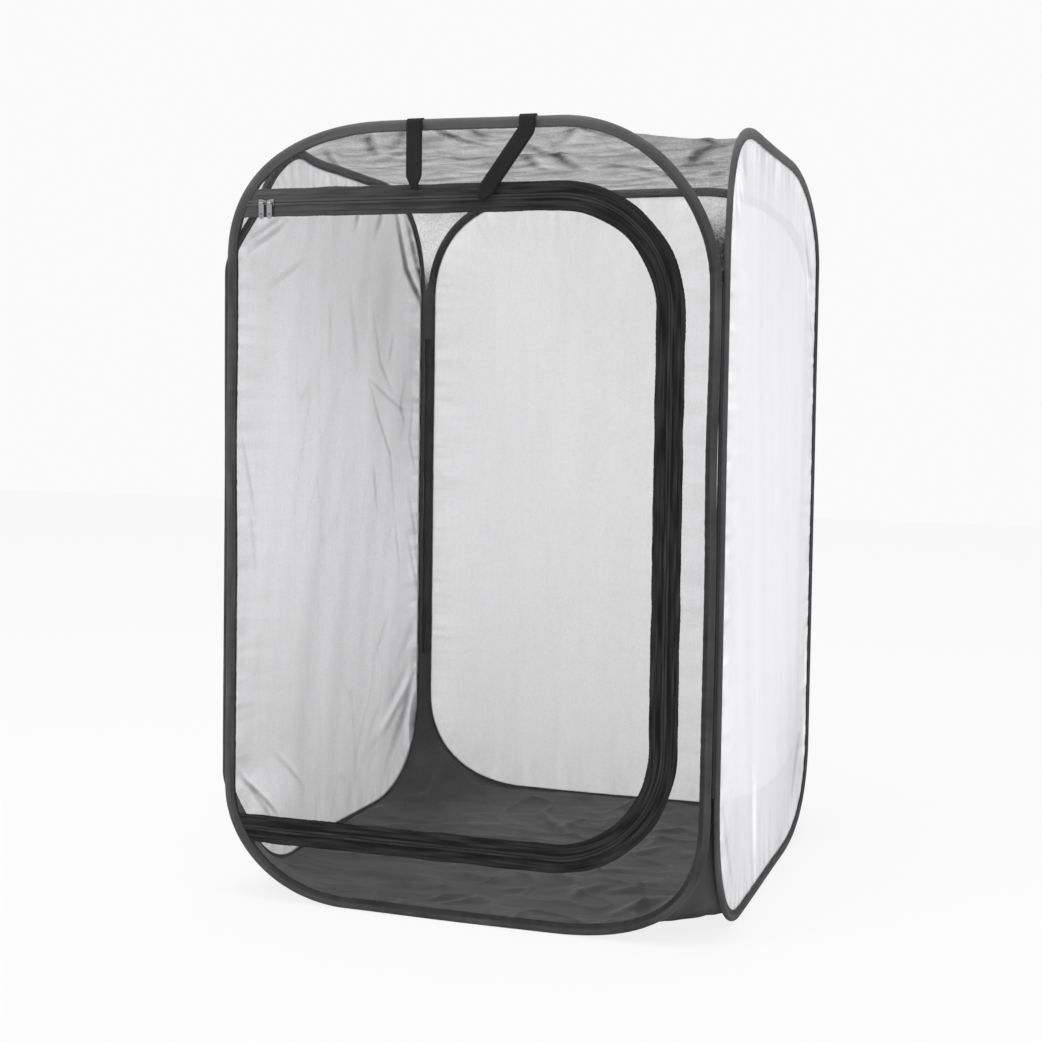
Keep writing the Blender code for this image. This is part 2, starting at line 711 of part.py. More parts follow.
def build_strap_tail(name, x, length, lean):
    """The hanging end of a strap, with a rounded top edge on its pivot and a pointed tip."""
    pivot = strap_pivot(x)
    half = STRAP_WIDTH / 2
    tip = STRAP_TIP_WIDTH / 2
    thick = STRAP_THICKNESS / 2
    turn = Matrix.Rotation(lean, 4, "Y")
    stations = []
    for share in STRAP_TOP_SHARES:
        angle = share * math.pi / 2
        stations.append((thick * math.sin(angle), half, thick * math.cos(angle)))
    stations.append((0.0, half, thick))
    stations += [(STRAP_TIP_LENGTH - length, half, thick), (-length, tip, thick)]
    bm = bmesh.new()
    rings = []
    for height, width, depth in stations:
        ring = [
            Vector((-width, -depth, height)),
            Vector((width, -depth, height)),
            Vector((width, depth, height)),
            Vector((-width, depth, height)),
        ]
        rings.append([bm.verts.new(pivot + turn @ point) for point in ring])
    for ring, following in zip(rings, rings[1:]):
        for i in range(4):
            j = (i + 1) % 4
            bm.faces.new((ring[i], ring[j], following[j], following[i]))
    bm.faces.new(rings[0][::-1])
    bm.faces.new(rings[-1])
    new_object(name, bm, "webbing", pivot)


def build_straps():
    for side, x, length, lean in (
        ("left", STRAP_LEFT_X, STRAP_LEFT_TAIL, STRAP_LEFT_LEAN),
        ("right", STRAP_RIGHT_X, STRAP_RIGHT_TAIL, STRAP_RIGHT_LEAN),
    ):
        build_strap_wrap(f"strap_{side}_wrap", x, lean)
        build_strap_tail(f"strap_{side}_tail", x, length, lean)


def seam_heights(first, second):
    """The stretch where two neighbouring hoops both run straight up."""
    ends = []
    for wall, side in ((first, "right"), (second, "left")):
        low = hoop_corner(wall, "bottom_" + side)[-1][1]
        high = hoop_corner(wall, "top_" + side)[-1][1]
        ends.append((low, high))
    return max(e[0] for e in ends), min(e[1] for e in ends)


def build_seam(edge):
    """The sewn seam that joins two hoops along an upright edge, on the fold's axis."""
    first, second = EDGES[edge]
    x = HINGE_X if edge.endswith("right") else -HINGE_X
    y = HINGE_Y if edge.startswith("back") else -HINGE_Y
    low, high = seam_heights(first, second)
    bm = bmesh.new()
    rings = []
    for height in (low, high):
        ring = []
        for a, b in arc_points(SEAM_RADIUS, 0, 2 * math.pi, ROUND_STEPS)[:-1]:
            ring.append(bm.verts.new(Vector((x + a, y + b, height))))
        rings.append(ring)
    for i in range(ROUND_STEPS):
        j = (i + 1) % ROUND_STEPS
        bm.faces.new((rings[0][i], rings[0][j], rings[1][j], rings[1][i]))
    bm.faces.new(rings[0][::-1])
    bm.faces.new(rings[1])
    new_object(f"{edge}_seam", bm, "binding_tape")


class Cloth:
    """A sheet built as a middle surface with shared points, then given its thickness."""

    def __init__(self, shape):
        self.shape = shape
        self.bm = bmesh.new()
        self.verts = {}

    def vertex(self, point):
        key = tuple(round(value / CLEARANCE, 1) for value in point)
        if key not in self.verts:
            self.verts[key] = self.bm.verts.new(point)
        return self.verts[key]

    def face(self, *points):
        corners = []
        for point in points:
            vertex = self.vertex(point)
            if vertex not in corners:
                corners.append(vertex)
        if len(corners) > 2:
            self.bm.faces.new(corners)

    def grid(self, a, b, c, d, across, down):
        """Fill the quadrilateral a, b, c, d; a to b is across and b to c is down."""
        rows = []
        for j in range(down + 1):
            start = a.lerp(d, j / down)
            end = b.lerp(c, j / down)
            rows.append([self.shape(start.lerp(end, i / across)) for i in range(across + 1)])
        for upper, lower in zip(rows, rows[1:]):
            for i in range(across):
                self.face(upper[i], upper[i + 1], lower[i + 1], lower[i])

    def triangle(self, a, b, c, steps):
        """Fill the triangle a, b, c in rows from a."""
        rows = []
        for j in range(steps + 1):
            start = a.lerp(b, j / steps)
            end = a.lerp(c, j / steps)
            count = max(j, 1)
            rows.append([self.shape(start.lerp(end, i / count)) for i in range(j + 1)])
        for upper, lower in zip(rows, rows[1:]):
            for i in range(len(upper)):
                self.face(upper[i], lower[i], lower[i + 1])
            for i in range(len(upper) - 1):
                self.face(upper[i], lower[i + 1], upper[i + 1])

    def ruled(self, first, second, steps):
        """Fill between two curves with straight lines."""
        rows = [[p.lerp(q, i / steps) for i in range(steps + 1)] for p, q in zip(first, second)]
        for upper, lower in zip(rows, rows[1:]):
            for i in range(steps):
                self.face(upper[i], upper[i + 1], lower[i + 1], lower[i])

    def solid(self):
        """Give the middle surface its thickness, half to each side."""
        bm = self.bm
        bmesh.ops.recalc_face_normals(bm, faces=bm.faces)
        bm.normal_update()
        half = CLOTH_THICKNESS / 2
        rim = [e for e in bm.edges if e.is_boundary]
        faces = list(bm.faces)
        upper = {v: bm.verts.new(v.co + v.normal * half) for v in list(bm.verts)}
        lower = {v: bm.verts.new(v.co - v.normal * half) for v in upper}
        for face in faces:
            bm.faces.new([upper[v] for v in face.verts])
            bm.faces.new([lower[v] for v in reversed(face.verts)])
        for edge in rim:
            a, b = edge.verts
            bm.faces.new((upper[a], upper[b], lower[b], lower[a]))
        bmesh.ops.delete(bm, geom=faces, context="FACES")
        bmesh.ops.delete(bm, geom=[v for v in upper if v.is_valid], context="VERTS")
        return bm


def cloth_shape(level, sag):
    """How far the cloth sags and wrinkles between the hoops, as a function of the place."""

    def shape(point):
        x_share = min(1.0, abs(point.x) / HINGE_X)
        y_share = min(1.0, abs(point.y) / HINGE_Y)
        hollow = (1 - x_share**4) * (1 - y_share**4)
        free = max(0.0, 1 - x_share**6) * max(0.0, 1 - y_share**6)
        wave = math.sin(point.x * 2 * math.pi / WRINKLE_LENGTH + 3 * y_share)
        wave += math.sin((point.y + point.x / 2) * 2 * math.pi / WRINKLE_LENGTH)
        wrinkle = WRINKLE_HEIGHT * (0.5 + wave / 4) * free
        return Vector((point.x, point.y, level - sag * hollow + wrinkle))

    return shape


def seam_curve(wall, corner):
    """The line where the top or floor is sewn to a hoop's corner, from the run to the side."""
    inward = FLAP_OUTER + CLEARANCE + CLOTH_THICKNESS / 2
    points = offset_corner(wall, corner, -CLOTH_SEAM_DEPTH)
    return [wall_point(wall, x, z, inward) for x, z in points]


def build_cloth(name, end, sag, slot):
    """The top netting or the floor cloth, sewn to all four hoops, with its corners drawn up."""
    curves = {}
    for edge, (first, second) in EDGES.items():
        curves[edge] = (seam_curve(first, end + "_right"), seam_curve(second, end + "_left"))
    level = curves["front_right"][0][0].z
    cloth = Cloth(cloth_shape(level, sag))
    inner = {}
    for edge, (first, second) in curves.items():
        a, b = first[0], second[0]
        if edge in ("front_right", "back_left"):
            inner[edge] = Vector((a.x, b.y, level))
        else:
            inner[edge] = Vector((b.x, a.y, level))
    steps = CLOTH_MIDDLE_STEPS
    strip = CLOTH_STRIP_STEPS
    cloth.grid(
        inner["front_left"], inner["front_right"], inner["back_right"], inner["back_left"], steps, steps
    )
    names = list(EDGES)
    for i, edge in enumerate(names):
        following = names[(i + 1) % len(names)]
        start = curves[edge][1][0]
        finish = curves[following][0][0]
        cloth.grid(inner[edge], inner[following], finish, start, steps, strip)
    for edge, (first, second) in curves.items():
        cloth.triangle(inner[edge], first[0], second[0], strip)
        base = [cloth.shape(first[0].lerp(second[0], i / strip)) for i in range(strip + 1)]
        ends = [first[1].lerp(second[1], i / strip) for i in range(strip + 1)]
        for i in range(strip):
            cloth.face(base[i], base[i + 1], ends[i + 1], ends[i])
        cloth.ruled(first[1:], second[1:], strip)
    new_object(name, cloth.solid(), slot)


def half_ellipse(edge, reach, top, height):
    """A half ellipse whose straight side stands upright at edge."""
    middle = top - height / 2
    points = []
    for x, z in arc_points(1, math.pi / 2, -math.pi / 2, LOOP_STEPS):
        points.append((edge + reach * x, middle + height / 2 * z))
    return points


def build_corner_loop():
    """A tape loop that hangs outside the back left corner, sewn to the back binding at its top."""
    edge = HOOP_WIDTH / 2 + CLEARANCE
    half = LOOP_THICKNESS / 2
    outline = half_ellipse(edge, LOOP_REACH, LOOP_TOP_HEIGHT, LOOP_HEIGHT)
    body = new_object("corner_loop", plate("back", outline, -half, half), "webbing")
    hole_reach = LOOP_REACH - LOOP_WIDTH - LOOP_INNER_LEG
    hole_top = LOOP_TOP_HEIGHT - LOOP_HOLE_BELOW_TOP
    hole = half_ellipse(edge + LOOP_INNER_LEG, hole_reach, hole_top, LOOP_HOLE_HEIGHT)
    cutter = plate("back", hole, -LOOP_THICKNESS, LOOP_THICKNESS)
    boolean(body, new_object("corner_loop_hole", cutter, "webbing"), "DIFFERENCE")


def hinge_point(side, end):
    """A point on the upright fold line of one corner; side and end are 1 or -1."""
    return Vector((side * HINGE_X, end * HINGE_Y, 0))


def centre_shift():
    """How far the cage moves so that its box, loop and pulls included, is centred on the origin."""
    wall_side = BULGE + BINDING_HEM_RISE
    left = max(SIDE_PLANE + wall_side, HOOP_WIDTH / 2 + CLEARANCE + LOOP_REACH)
    front = max(wall_side, BRIDGE_DEPTH + PULL_EYE_RADIUS, STRAP_BEND_RADIUS + STRAP_THICKNESS)
    return Vector(((left - SIDE_PLANE - wall_side) / 2, (front - wall_side) / 2, 0))


def wall_pieces(wall):
    return [f"{wall}_{piece}" for piece in ("wire", "ferrule", "binding", "net")]


def groups():
    """Each group that moves as one: the group that carries it, its pivot and its pieces."""
    found = {
        "front_wall": ("cage", Vector((0, FRONT_PLANE, 0)), []),
        "right_wall": ("front_wall", hinge_point(1, -1), wall_pieces("right")),
        "left_wall": ("front_wall", hinge_point(-1, -1), wall_pieces("left")),
        "back_wall": ("left_wall", hinge_point(-1, 1), wall_pieces("back")),
        "door": ("front_wall", door_hinge(), ["door_net", "zip_door_tape", "zip_door_coil"]),
    }
    found["left_wall"][2].append("back_left_seam")
    found["back_wall"][2].extend(["back_right_seam", "corner_loop"])
    for side, x in (("left", STRAP_LEFT_X), ("right", STRAP_RIGHT_X)):
        slider_at = wall_point("front", slider_x(side), ZIP_TOP_HEIGHT, 0)
        found[f"{side}_slider"] = ("front_wall", slider_at, [f"slider_{side}"])
        found[f"{side}_pull"] = (f"{side}_slider", pull_pivot(side), [f"pull_{side}"])
        found[f"{side}_strap"] = ("front_wall", strap_pivot(x), [f"strap_{side}_tail"])
    placed = {name for group in found.values() for name in group[2]}
    found["front_wall"][2].extend(obj.name for obj in bpy.data.objects if obj.name not in placed)
    return found


def assemble():
    """Hang every piece on an empty at its group's pivot, and centre the whole cage."""
    found = groups()
    places = {"cage": centre_shift()}
    empties = {"cage": bpy.data.objects.new("cage", None)}
    empties["cage"].location = places["cage"]
    bpy.context.scene.collection.objects.link(empties["cage"])
    for name, (carrier, pivot, pieces) in found.items():
        empty = bpy.data.objects.new(name, None)
        bpy.context.scene.collection.objects.link(empty)
        places[name] = pivot
        empties[name] = empty
        empty.parent = empties[carrier]
        empty.location = pivot if carrier == "cage" else pivot - places[carrier]
        for piece in pieces:
            obj = bpy.data.objects[piece]
            obj.parent = empty
            obj.location = obj.location - pivot


def build():
    clear_scene()
    make_materials()
    for wall in WALLS:
        build_wire(wall)
        build_ferrule(wall)
        build_binding(wall)
    for wall in ("right", "back", "left"):
        build_wall_net(wall)
    build_surround_net()
    build_door_net()
    build_zip_tapes()
    build_zip_coils()
    build_zip_stops()
    for side in ("left", "right"):
        build_slider(side)
        build_pull(side)
    build_straps()
    for edge in EDGES:
        build_seam(edge)
    build_cloth("top_net", "top", TOP_SAG, "dark_net")
    floor_sag = BULGE + CLOTH_SEAM_DEPTH - FLOOR_REST_HEIGHT
    build_cloth("floor_cloth", "bottom", floor_sag, "floor_cloth")
    build_corner_loop()
    assemble()


build()
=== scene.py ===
"""Looks of the collapsible butterfly cage: bound hoops, wrinkled netting, floor cloth, zip and straps.

Every piece is placed in the CAD's frame, in metres. A place on a wall is written as (along, height,
inward): along the wall's run, up from the ground, and towards the inside of the cage.
"""

import json
import math

import bpy
import numpy as np
from mathutils import Matrix, Vector, noise


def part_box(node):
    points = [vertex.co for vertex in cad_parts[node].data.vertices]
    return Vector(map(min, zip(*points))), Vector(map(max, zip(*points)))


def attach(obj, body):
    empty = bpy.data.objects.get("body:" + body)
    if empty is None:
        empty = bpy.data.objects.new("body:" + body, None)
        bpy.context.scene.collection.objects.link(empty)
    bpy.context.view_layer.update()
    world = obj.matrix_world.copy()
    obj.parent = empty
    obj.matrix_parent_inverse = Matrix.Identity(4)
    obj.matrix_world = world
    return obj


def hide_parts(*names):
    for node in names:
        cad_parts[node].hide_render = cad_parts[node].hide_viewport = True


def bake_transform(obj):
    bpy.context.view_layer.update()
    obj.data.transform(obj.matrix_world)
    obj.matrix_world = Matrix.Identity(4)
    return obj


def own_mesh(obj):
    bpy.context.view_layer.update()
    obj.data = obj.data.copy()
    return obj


MM = 0.001

# light that reaches the fabric, against the backdrop as the camera sees it
AMBIENT = 1.10

# camera, found from the outlines of the hoops in the photograph
PHOTO_PIXELS = 1042
CAMERA_FOCAL_PIXELS = 1613.5
CAMERA_CENTRE_PIXELS = (580, 490)
CAMERA_OFFSET = Vector((678.5 * MM, -1703.9 * MM, 591.3 * MM))
CAMERA_YAW = 0.3048
CAMERA_PITCH = -0.0503
CAMERA_ROLL = -0.0156
SENSOR_MM = 36

# the hoops' corners: reach along the run and up the side as shares of CORNER_REACH, then fullness
CORNER_REACH = 165 * MM
FRONT_CORNER_SHARES = {
    "bottom_left": (0.95, 0.80, 0.55),
    "top_left": (1.18, 0.90, 0.63),
    "top_right": (1.10, 1.12, 0.52),
    "bottom_right": (1.07, 0.84, 0.68),
}
SIDE_CORNER_SHARES = {
    "bottom_left": (0.75, 1.00, 0.61),
    "top_left": (0.92, 0.98, 0.74),
    "top_right": (1.40, 0.72, 0.55),
    "bottom_right": (1.15, 0.72, 0.64),
}
PLAIN_CORNER_SHARES = {
    "bottom_left": (1.00, 0.88, 0.62),
    "top_left": (1.00, 0.95, 0.62),
    "top_right": (1.00, 0.95, 0.62),
    "bottom_right": (1.00, 0.88, 0.62),
}
CORNER_SHARES = {
    "front": FRONT_CORNER_SHARES,
    "right": SIDE_CORNER_SHARES,
    "back": PLAIN_CORNER_SHARES,
    "left": PLAIN_CORNER_SHARES,
}
CORNER_ORDER = ("bottom_right", "top_right", "top_left", "bottom_left")
CORNER_STEPS = 40
# how far the left hoop's top and bottom front corners lean in
LEANS = {"left": (34 * MM, 20 * MM)}
LEAN_FROM = 40 * MM
LEAN_REACH = 190 * MM
LEAN_TOP_FROM = 745 * MM
LEAN_TOP_REACH = 95 * MM
LEAN_BOTTOM_FROM = 150 * MM
LEAN_BOTTOM_REACH = 80 * MM

# binding tape
BULGE = 3.6 * MM
TAPE_WIDTH = 12.8 * MM
TAPE_HALF_FLAP = 1.6 * MM
TAPE_STEP = 2.6 * MM
WIRE_RADIUS = 1.5 * MM
WIRE_SIDES = 10
TAPE_WAVE = 1.6 * MM
TAPE_JOIN_SHARE = 0.105
TAPE_ROUND_STEPS = 12
TAPE_ROUND_HALF_ANGLE = math.radians(146)
TAPE_FLAP_START = -4.6 * MM
TAPE_DIMPLE_FROM_EDGE = 1.6 * MM
TAPE_DIMPLE_SHARE = 0.86
# painted light on the binding tape: the round over the wire painted paler than the flaps as a highlight,
# the flaps painted darker, each hoop's top run and left-hand run painted lighter as if lit from above and
# the left, and puckers painted lighter or darker
TAPE_ROUND_PAINTED_HIGHLIGHT = 0.45
TAPE_FLAP_PAINTED_SHADE = -0.15
TAPE_TOP_PAINTED_LIGHT = 0.95
TAPE_SIDE_PAINTED_LIGHT = 0.3
TAPE_PUCKER_PAINTED_SHADE = 0.12
STITCH_PITCH = 3.4 * MM
STITCH_LENGTH = 2.3 * MM
STITCH_WIDTH = 0.5 * MM
STITCH_RISE = 0.3 * MM
STITCH_FROM_EDGE = 1.5 * MM

# netting
NET_EDGE_DEPTH = 6.0 * MM
NET_STEP = 3.8 * MM
NET_HELD_REACH = 25 * MM
NET_DRAWN_REACH = 30 * MM
NET_DRAWN_START = 6 * MM
CREASE_START = 8 * MM
FOLD_HEIGHT = 1.0 * MM
LONG_FOLD_HEIGHT = 2.4 * MM
SMALL_CREASE_HEIGHT = 1.0 * MM
PUCKER_HEIGHT = 1.5 * MM
# the netting between hoop and zip: stations along it, steps across, and where it is cut in three sheets
SURROUND_STATIONS = 520
SURROUND_STEPS = 16
SURROUND_CUTS = (0, 154, 366, SURROUND_STATIONS)
DOOR_ROWS = 170
DOOR_COLUMNS = 110
FRONT_NET_ALPHA = 0.12
TOP_NET_ALPHA = 0.50

# single creases of the netting and cloths: the places they run through in millimetres, as pairs in one row,
# then width, height and strength of painted shade on one side of the crease and a painted highlight on its
# crest. A pair is along and up on a wall, and along and back from the front on top and bottom.
LEFT_CREASES = (
    ((-188, 884, -229, 799, -306, 738), 6, 5, 0.9),
    ((-221, 886, -262, 820, -309, 752), 6, 5, 0.8),
    ((-256, 880, -309, 800), 5, 4, 0.8),
    ((-71, 870, -55, 838), 5, 3, 0.6),
    ((-145, 872, -122, 832), 6, 3, 0.5),
    ((-99, 633, -131, 579, -177, 523, -194, 437), 3, 2.4, 0.35),
    ((-106, 629, -227, 585), 3, 2.2, 0.3),
    ((-188, 694, -171, 655), 3, 2.4, 0.35),
    ((-120, 720, -140, 655, -190, 610), 4, 2, 0.25),
    ((-41, 751, -66, 645), 7, 2, 0.2),
    ((17, 735, 19, 649), 6, 2, 0.2),
    ((-233, 636, -214, 590, -229, 570, -217, 543), 4, 2.2, 0.3),
    ((-262, 600, -250, 540, -270, 500), 4, 2, 0.3),
    ((-298, 646, -291, 469), 4, 2.6, -0.4),
    ((256, 549, 226, 455), 3, 2.4, 0.35),
    ((240, 470, 222, 380), 3, 2, 0.25),
    ((204, 811, 256, 774), 5, 3, 0.5),
    ((218, 820, 266, 788), 4, 3, 0.5),
    ((100, 776, 196, 733), 4, 2, 0.3),
    ((-118, 507, -130, 445), 3, 2.4, 0.35),
    ((-250, 460, -272, 400, -296, 330), 5, 2.4, 0.3),
    ((-200, 420, -215, 350), 4, 2, 0.25),
    ((-250, 388, -295, 291), 5, 2.6, 0.35),
    ((-176, 281, -135, 228), 4, 2.6, 0.4),
    ((262, 139, 198, 77), 4, 3.5, 0.7),
    ((250, 125, 205, 62), 4, 2.6, 0.4),
    ((170, 149, 101, 90), 4, 2, 0.3),
    ((-249, 150, -104, 80), 8, 4, 0.4),
    ((-267, 187, -150, 110), 7, 4, -0.5),
    ((-285, 215, -231, 115, -175, 50), 9, 5, 0.6),
    ((-241, 190, -168, 134), 7, 3, 0.3),
    ((-275, 260, -215, 205), 9, 3, 0.3),
)
RIGHT_CREASES = (
    ((-280, 880, -262, 800), 5, 3, -0.5),
    ((-268, 872, -276, 790), 4, 3, 0.3),
    ((-256, 860, -240, 812), 5, 3, -0.5),
    ((-245, 870, -222, 824), 4, 3, -0.4),
    ((-232, 889, -205, 850), 4, 3, 0.3),
    ((174, 843, 268, 756), 6, 3, 0.3),
    ((205, 793, 278, 700), 5, 3, -0.5),
    ((230, 780, 286, 660), 5, 3, 0.35),
    ((262, 260, 285, 180, 262, 90), 6, 3, -0.5),
    ((242, 150, 173, 60), 8, 3, 0.3),
    ((-257, 66, -234, 27), 4, 2.5, 0.4),
    ((-266, 149, -200, 40), 5, 2.5, 0.25),
    ((-275, 90, -240, 20), 4, 2.5, 0.35),
    ((-96, 140, -81, 40), 12, 2, -0.5),
)
FRONT_CREASES = (
    ((-262, 866, -240, 846), 4, 2, 0.6),
    ((-270, 850, -262, 838), 3, 2, 0.6),
    ((-274, 800, -262, 770), 3, 2, 0.4),
    ((-280, 790, -268, 750), 3, 2, 0.4),
    ((-282, 112, -262, 150), 3, 2, 0.4),
)
TOP_CREASES = (
    ((-114, -4, -143, 75, -160, 129), 7, 4, 1.1),
    ((-197, 53, -230, 138, -261, 232), 5, 3, 0.9),
    ((-181, 24, -147, 0, -118, -15), 6, 3, 0.9),
    ((-175, 149, -146, 120, -105, 72), 8, 3, 0.7),
    ((-33, -16, -30, 25, -14, 59, 2, 84), 6, 3.5, 1.0),
    ((8, -17, 10, 33, 33, 38), 6, 3, 0.7),
    ((46, 72, 53, 116, 56, 162, 56, 221, 59, 284), 9, 5, 1.2),
    ((14, 153, 12, 212, 10, 287), 8, 4, 1.0),
    ((124, 8, 124, 28, 96, 83, 70, 109), 6, 3, 0.8),
    ((124, 8, 147, 33, 168, 67), 6, 3, 0.8),
    ((66, 260, 95, 241, 128, 260, 145, 341), 8, 4, 0.8),
    ((-95, 119, -75, 135, -66, 172, -40, 165), 7, 3, 0.8),
    ((-120, 197, -99, 214, -86, 242), 7, 3, -0.6),
    ((189, 260, 215, 195, 240, 167, 263, 150), 9, 6, 1.6),
    ((258, 77, 264, 140), 6, 4, 1.2),
    ((203, 263, 223, 255, 229, 281), 7, 4, 1.0),
    ((188, 376, 218, 329), 9, 4, 1.0),
    ((149, 328, 161, 371, 175, 415), 9, 4, 0.8),
    ((-131, 78, -91, 22, -64, -13), 6, 3, 0.6),
    ((-252, 261, -209, 243, -179, 249), 9, 3, -0.5),
    ((-44, 237, -38, 264, -19, 255), 8, 3, 0.6),
)
BOTTOM_CREASES = (
    ((-76, 508, -39, 455, 1, 406), 7, 5, 1.0),
    ((-10, 411, -4, 450, 9, 483), 7, 5, 1.0),
    ((1, 406, 24, 389, 49, 381), 7, 5, 1.0),
    ((-49, 53, -33, 72, -10, 87), 6, 5, 1.2),
    ((-32, 40, -17, 52, -2, 77), 6, 5, 1.2),
    ((13, 123, 43, 141), 7, 5, 0.8),
    ((105, 437, 127, 455, 154, 474), 8, 6, 1.1),
    ((113, 406, 155, 430, 174, 429), 8, 6, 1.1),
    ((114, 323, 139, 357, 153, 387), 8, 6, 1.1),
    ((103, 116, 109, 159, 131, 181), 8, 6, 1.0),
    ((165, 63, 180, 93, 194, 124, 214, 164), 8, 7, 1.3),
    ((49, 207, 83, 177), 8, 5, 0.8),
    ((-168, 29, -118, 27, -63, 29), 7, 4, -1.2),
    ((-210, 54, -168, 29), 7, 4, -1.2),
    ((210, 80, 225, 136, 229, 217), 7, 5, 1.2),
    ((-62, 166, -8, 157, 12, 193), 9, 5, 0.8),
    ((-137, 95, -90, 92), 9, 5, 0.7),
    ((86, 221, 112, 245, 140, 263), 9, 6, 1.0),
    ((138, 156, 163, 179, 185, 215), 9, 6, 1.0),
)
CREASES = {
    "left": LEFT_CREASES,
    "right": RIGHT_CREASES,
    "front": FRONT_CREASES,
    "top": TOP_CREASES,
    "bottom": BOTTOM_CREASES,
}
# soft fields of painted shade and light on the netting, and one strong pale see-through patch at the left
# wall's
# loop: place and reach in millimetres, then shade
FIELDS = {
    "left": (
        ((-170, 760), 150, 0.32),
        ((-240, 560), 110, 0.22),
        ((40, 840), 160, 0.10),
        ((-215, 140), 60, 0.15),
        ((180, 420), 190, -0.12),
        ((-292, 105), 30, -4.0),
    ),
    "right": (
        ((-250, 870), 60, 0.10),
        ((200, 130), 120, 0.22),
        ((60, 830), 120, 0.08),
        ((-200, 90), 60, 0.10),
    ),
    "back": (((0, 800), 260, 0.06), ((0, 160), 200, -0.05)),
}
# how far the general folds of a wall are toned down
CALM = {"back": 0.35, "right": 0.5, "front": 0.3}

# zip
ZIP_TOP_HEIGHT = 826 * MM
ZIP_BOTTOM_HEIGHT = 85 * MM
ZIP_SIDE_FROM_EDGE = 55 * MM
ZIP_CORNER_RADIUS = 130 * MM
ZIP_STEP = 2.0 * MM
ZIP_STATIONS = 850
NET_FROM_ZIP = 4.8 * MM
TOOTH_PITCH = 1.9 * MM
TOOTH_HALF_LENGTH = 0.50 * MM
TOOTH_HALF_DEPTH = 0.75 * MM
TOOTH_INWARD = 0.55 * MM
TOOTH_SIDES = 6
# a tooth's ends and shoulders: distance across the zip from its middle, and thickness as a share
TOOTH_STEPS = ((-1.1 * MM, 0.7), (-0.7 * MM, 1.0), (2.3 * MM, 1.0), (2.8 * MM, 0.7))
TEETH_FROM_TAPE = 1 * MM
# one side of the zip's tape, in millimetres: distance from the middle, depth, and paleness, which is
# painted
# light: paler on the raised piping and fold line, darker in the hollow beside the piping
ZIP_TAPE_PROFILE = (
    (0.15, -1.0, 0.1), (0.4, -1.45, 0.5), (1.6, -1.75, 0.55), (2.8, -1.6, 0.3), (3.3, -1.15, -0.2),
    (4.2, -1.05, -0.2), (7.0, -1.25, 0.1), (9.4, -1.1, 0.1), (10.0, -1.55, 0.6), (10.6, -1.15, 0.0),
    (12.5, -1.4, 0.15), (14.6, -1.3, 0.2), (16.2, -1.36, 0.1), (16.5, -1.1, 0.0), (16.4, -0.6, 0.0),
    (10.0, -0.5, 0.0), (4.0, -0.5, 0.0), (0.4, -0.55, 0.0),
)
ZIP_TAPE_WIDTH_MM = 16.5
ZIP_TAPE_UNDER_BINDING = 1.2 * MM
ZIP_TOP_RUN_SHARE = 0.22

# straps
STRAP_WIDTH = 19 * MM
STRAP_THICKNESS = 1.5 * MM
STRAP_BEND_RADIUS = 4.2 * MM
STRAP_BACK_DEPTH = 3.0 * MM
STRAP_TIP_LENGTH = 14 * MM
STRAP_TIP_WIDTH = 6 * MM
STRAP_STEPS = 30
STRAP_TURN_START = 4 * MM
STRAP_TURN_LENGTH = 14 * MM
STRAP_FLEX_AFTER = 8 * MM
# for each strap: place along the front, hanging length and lean
STRAP_LEFT = (-59 * MM, 62 * MM, math.radians(0))
STRAP_RIGHT = (76 * MM, 94 * MM, math.radians(36))
STRAP_FRONT_DEPTH = 12 * MM

# top and floor
CLOTH_SEAM_DEPTH = 6.0 * MM
CLOTH_INWARD = 2.3 * MM
CLOTH_REST_HEIGHT = 1.6 * MM
TOP_SAG = 10 * MM
CLOTH_RUN_STEPS = 80
CLOTH_CORNER_STEPS = 26
CLOTH_DEPTH_STEPS = 76
CLOTH_TAIL = 60 * MM
CLOTH_TAIL_STEPS = 6
CLOTH_FLAT_REACH = 45 * MM
CLOTH_CREASE_REACH = 25 * MM
CORNER_CLOSE_FROM = 95 * MM
CORNER_CLOSE_REACH = 40 * MM
# how high the cloths' broad waves, sharp folds and fine wrinkles stand
FLOOR_RELIEF = (5.0 * MM, 5.0 * MM, 1.2 * MM)
TOP_RELIEF = (5.0 * MM, 1.4 * MM, 0.6 * MM)
CLOTH_THICKNESS = 0.4 * MM

# loop at the back left corner
LOOP_HOLE_FROM_TOP = 21 * MM
LOOP_HOLE_HALF_HEIGHT = 28 * MM
LOOP_HOLE_FROM_EDGE = 4 * MM
LOOP_HOLE_WIDTH = 9 * MM
LOOP_THICKNESS = 1.4 * MM

# surroundings
FLOOR_SIZE = 14
FLOOR_GLOW = 0.935
FLOOR_GLOW_SHARE = 0.9
BACKDROP = 0.956

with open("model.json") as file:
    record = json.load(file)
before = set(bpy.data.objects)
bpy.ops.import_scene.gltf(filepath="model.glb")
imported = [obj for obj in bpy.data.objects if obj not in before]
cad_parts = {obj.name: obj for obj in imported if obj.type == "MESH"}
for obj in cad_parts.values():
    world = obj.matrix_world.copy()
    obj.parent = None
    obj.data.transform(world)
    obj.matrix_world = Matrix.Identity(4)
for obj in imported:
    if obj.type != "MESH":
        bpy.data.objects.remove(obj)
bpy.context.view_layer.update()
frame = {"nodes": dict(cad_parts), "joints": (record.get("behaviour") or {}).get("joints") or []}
joints = {joint["name"]: joint for joint in frame["joints"]}


def ease(share):
    """From 0 to 1 with a gentle start and end."""
    share = min(1.0, max(0.0, share))
    return share * share * (3 - 2 * share)


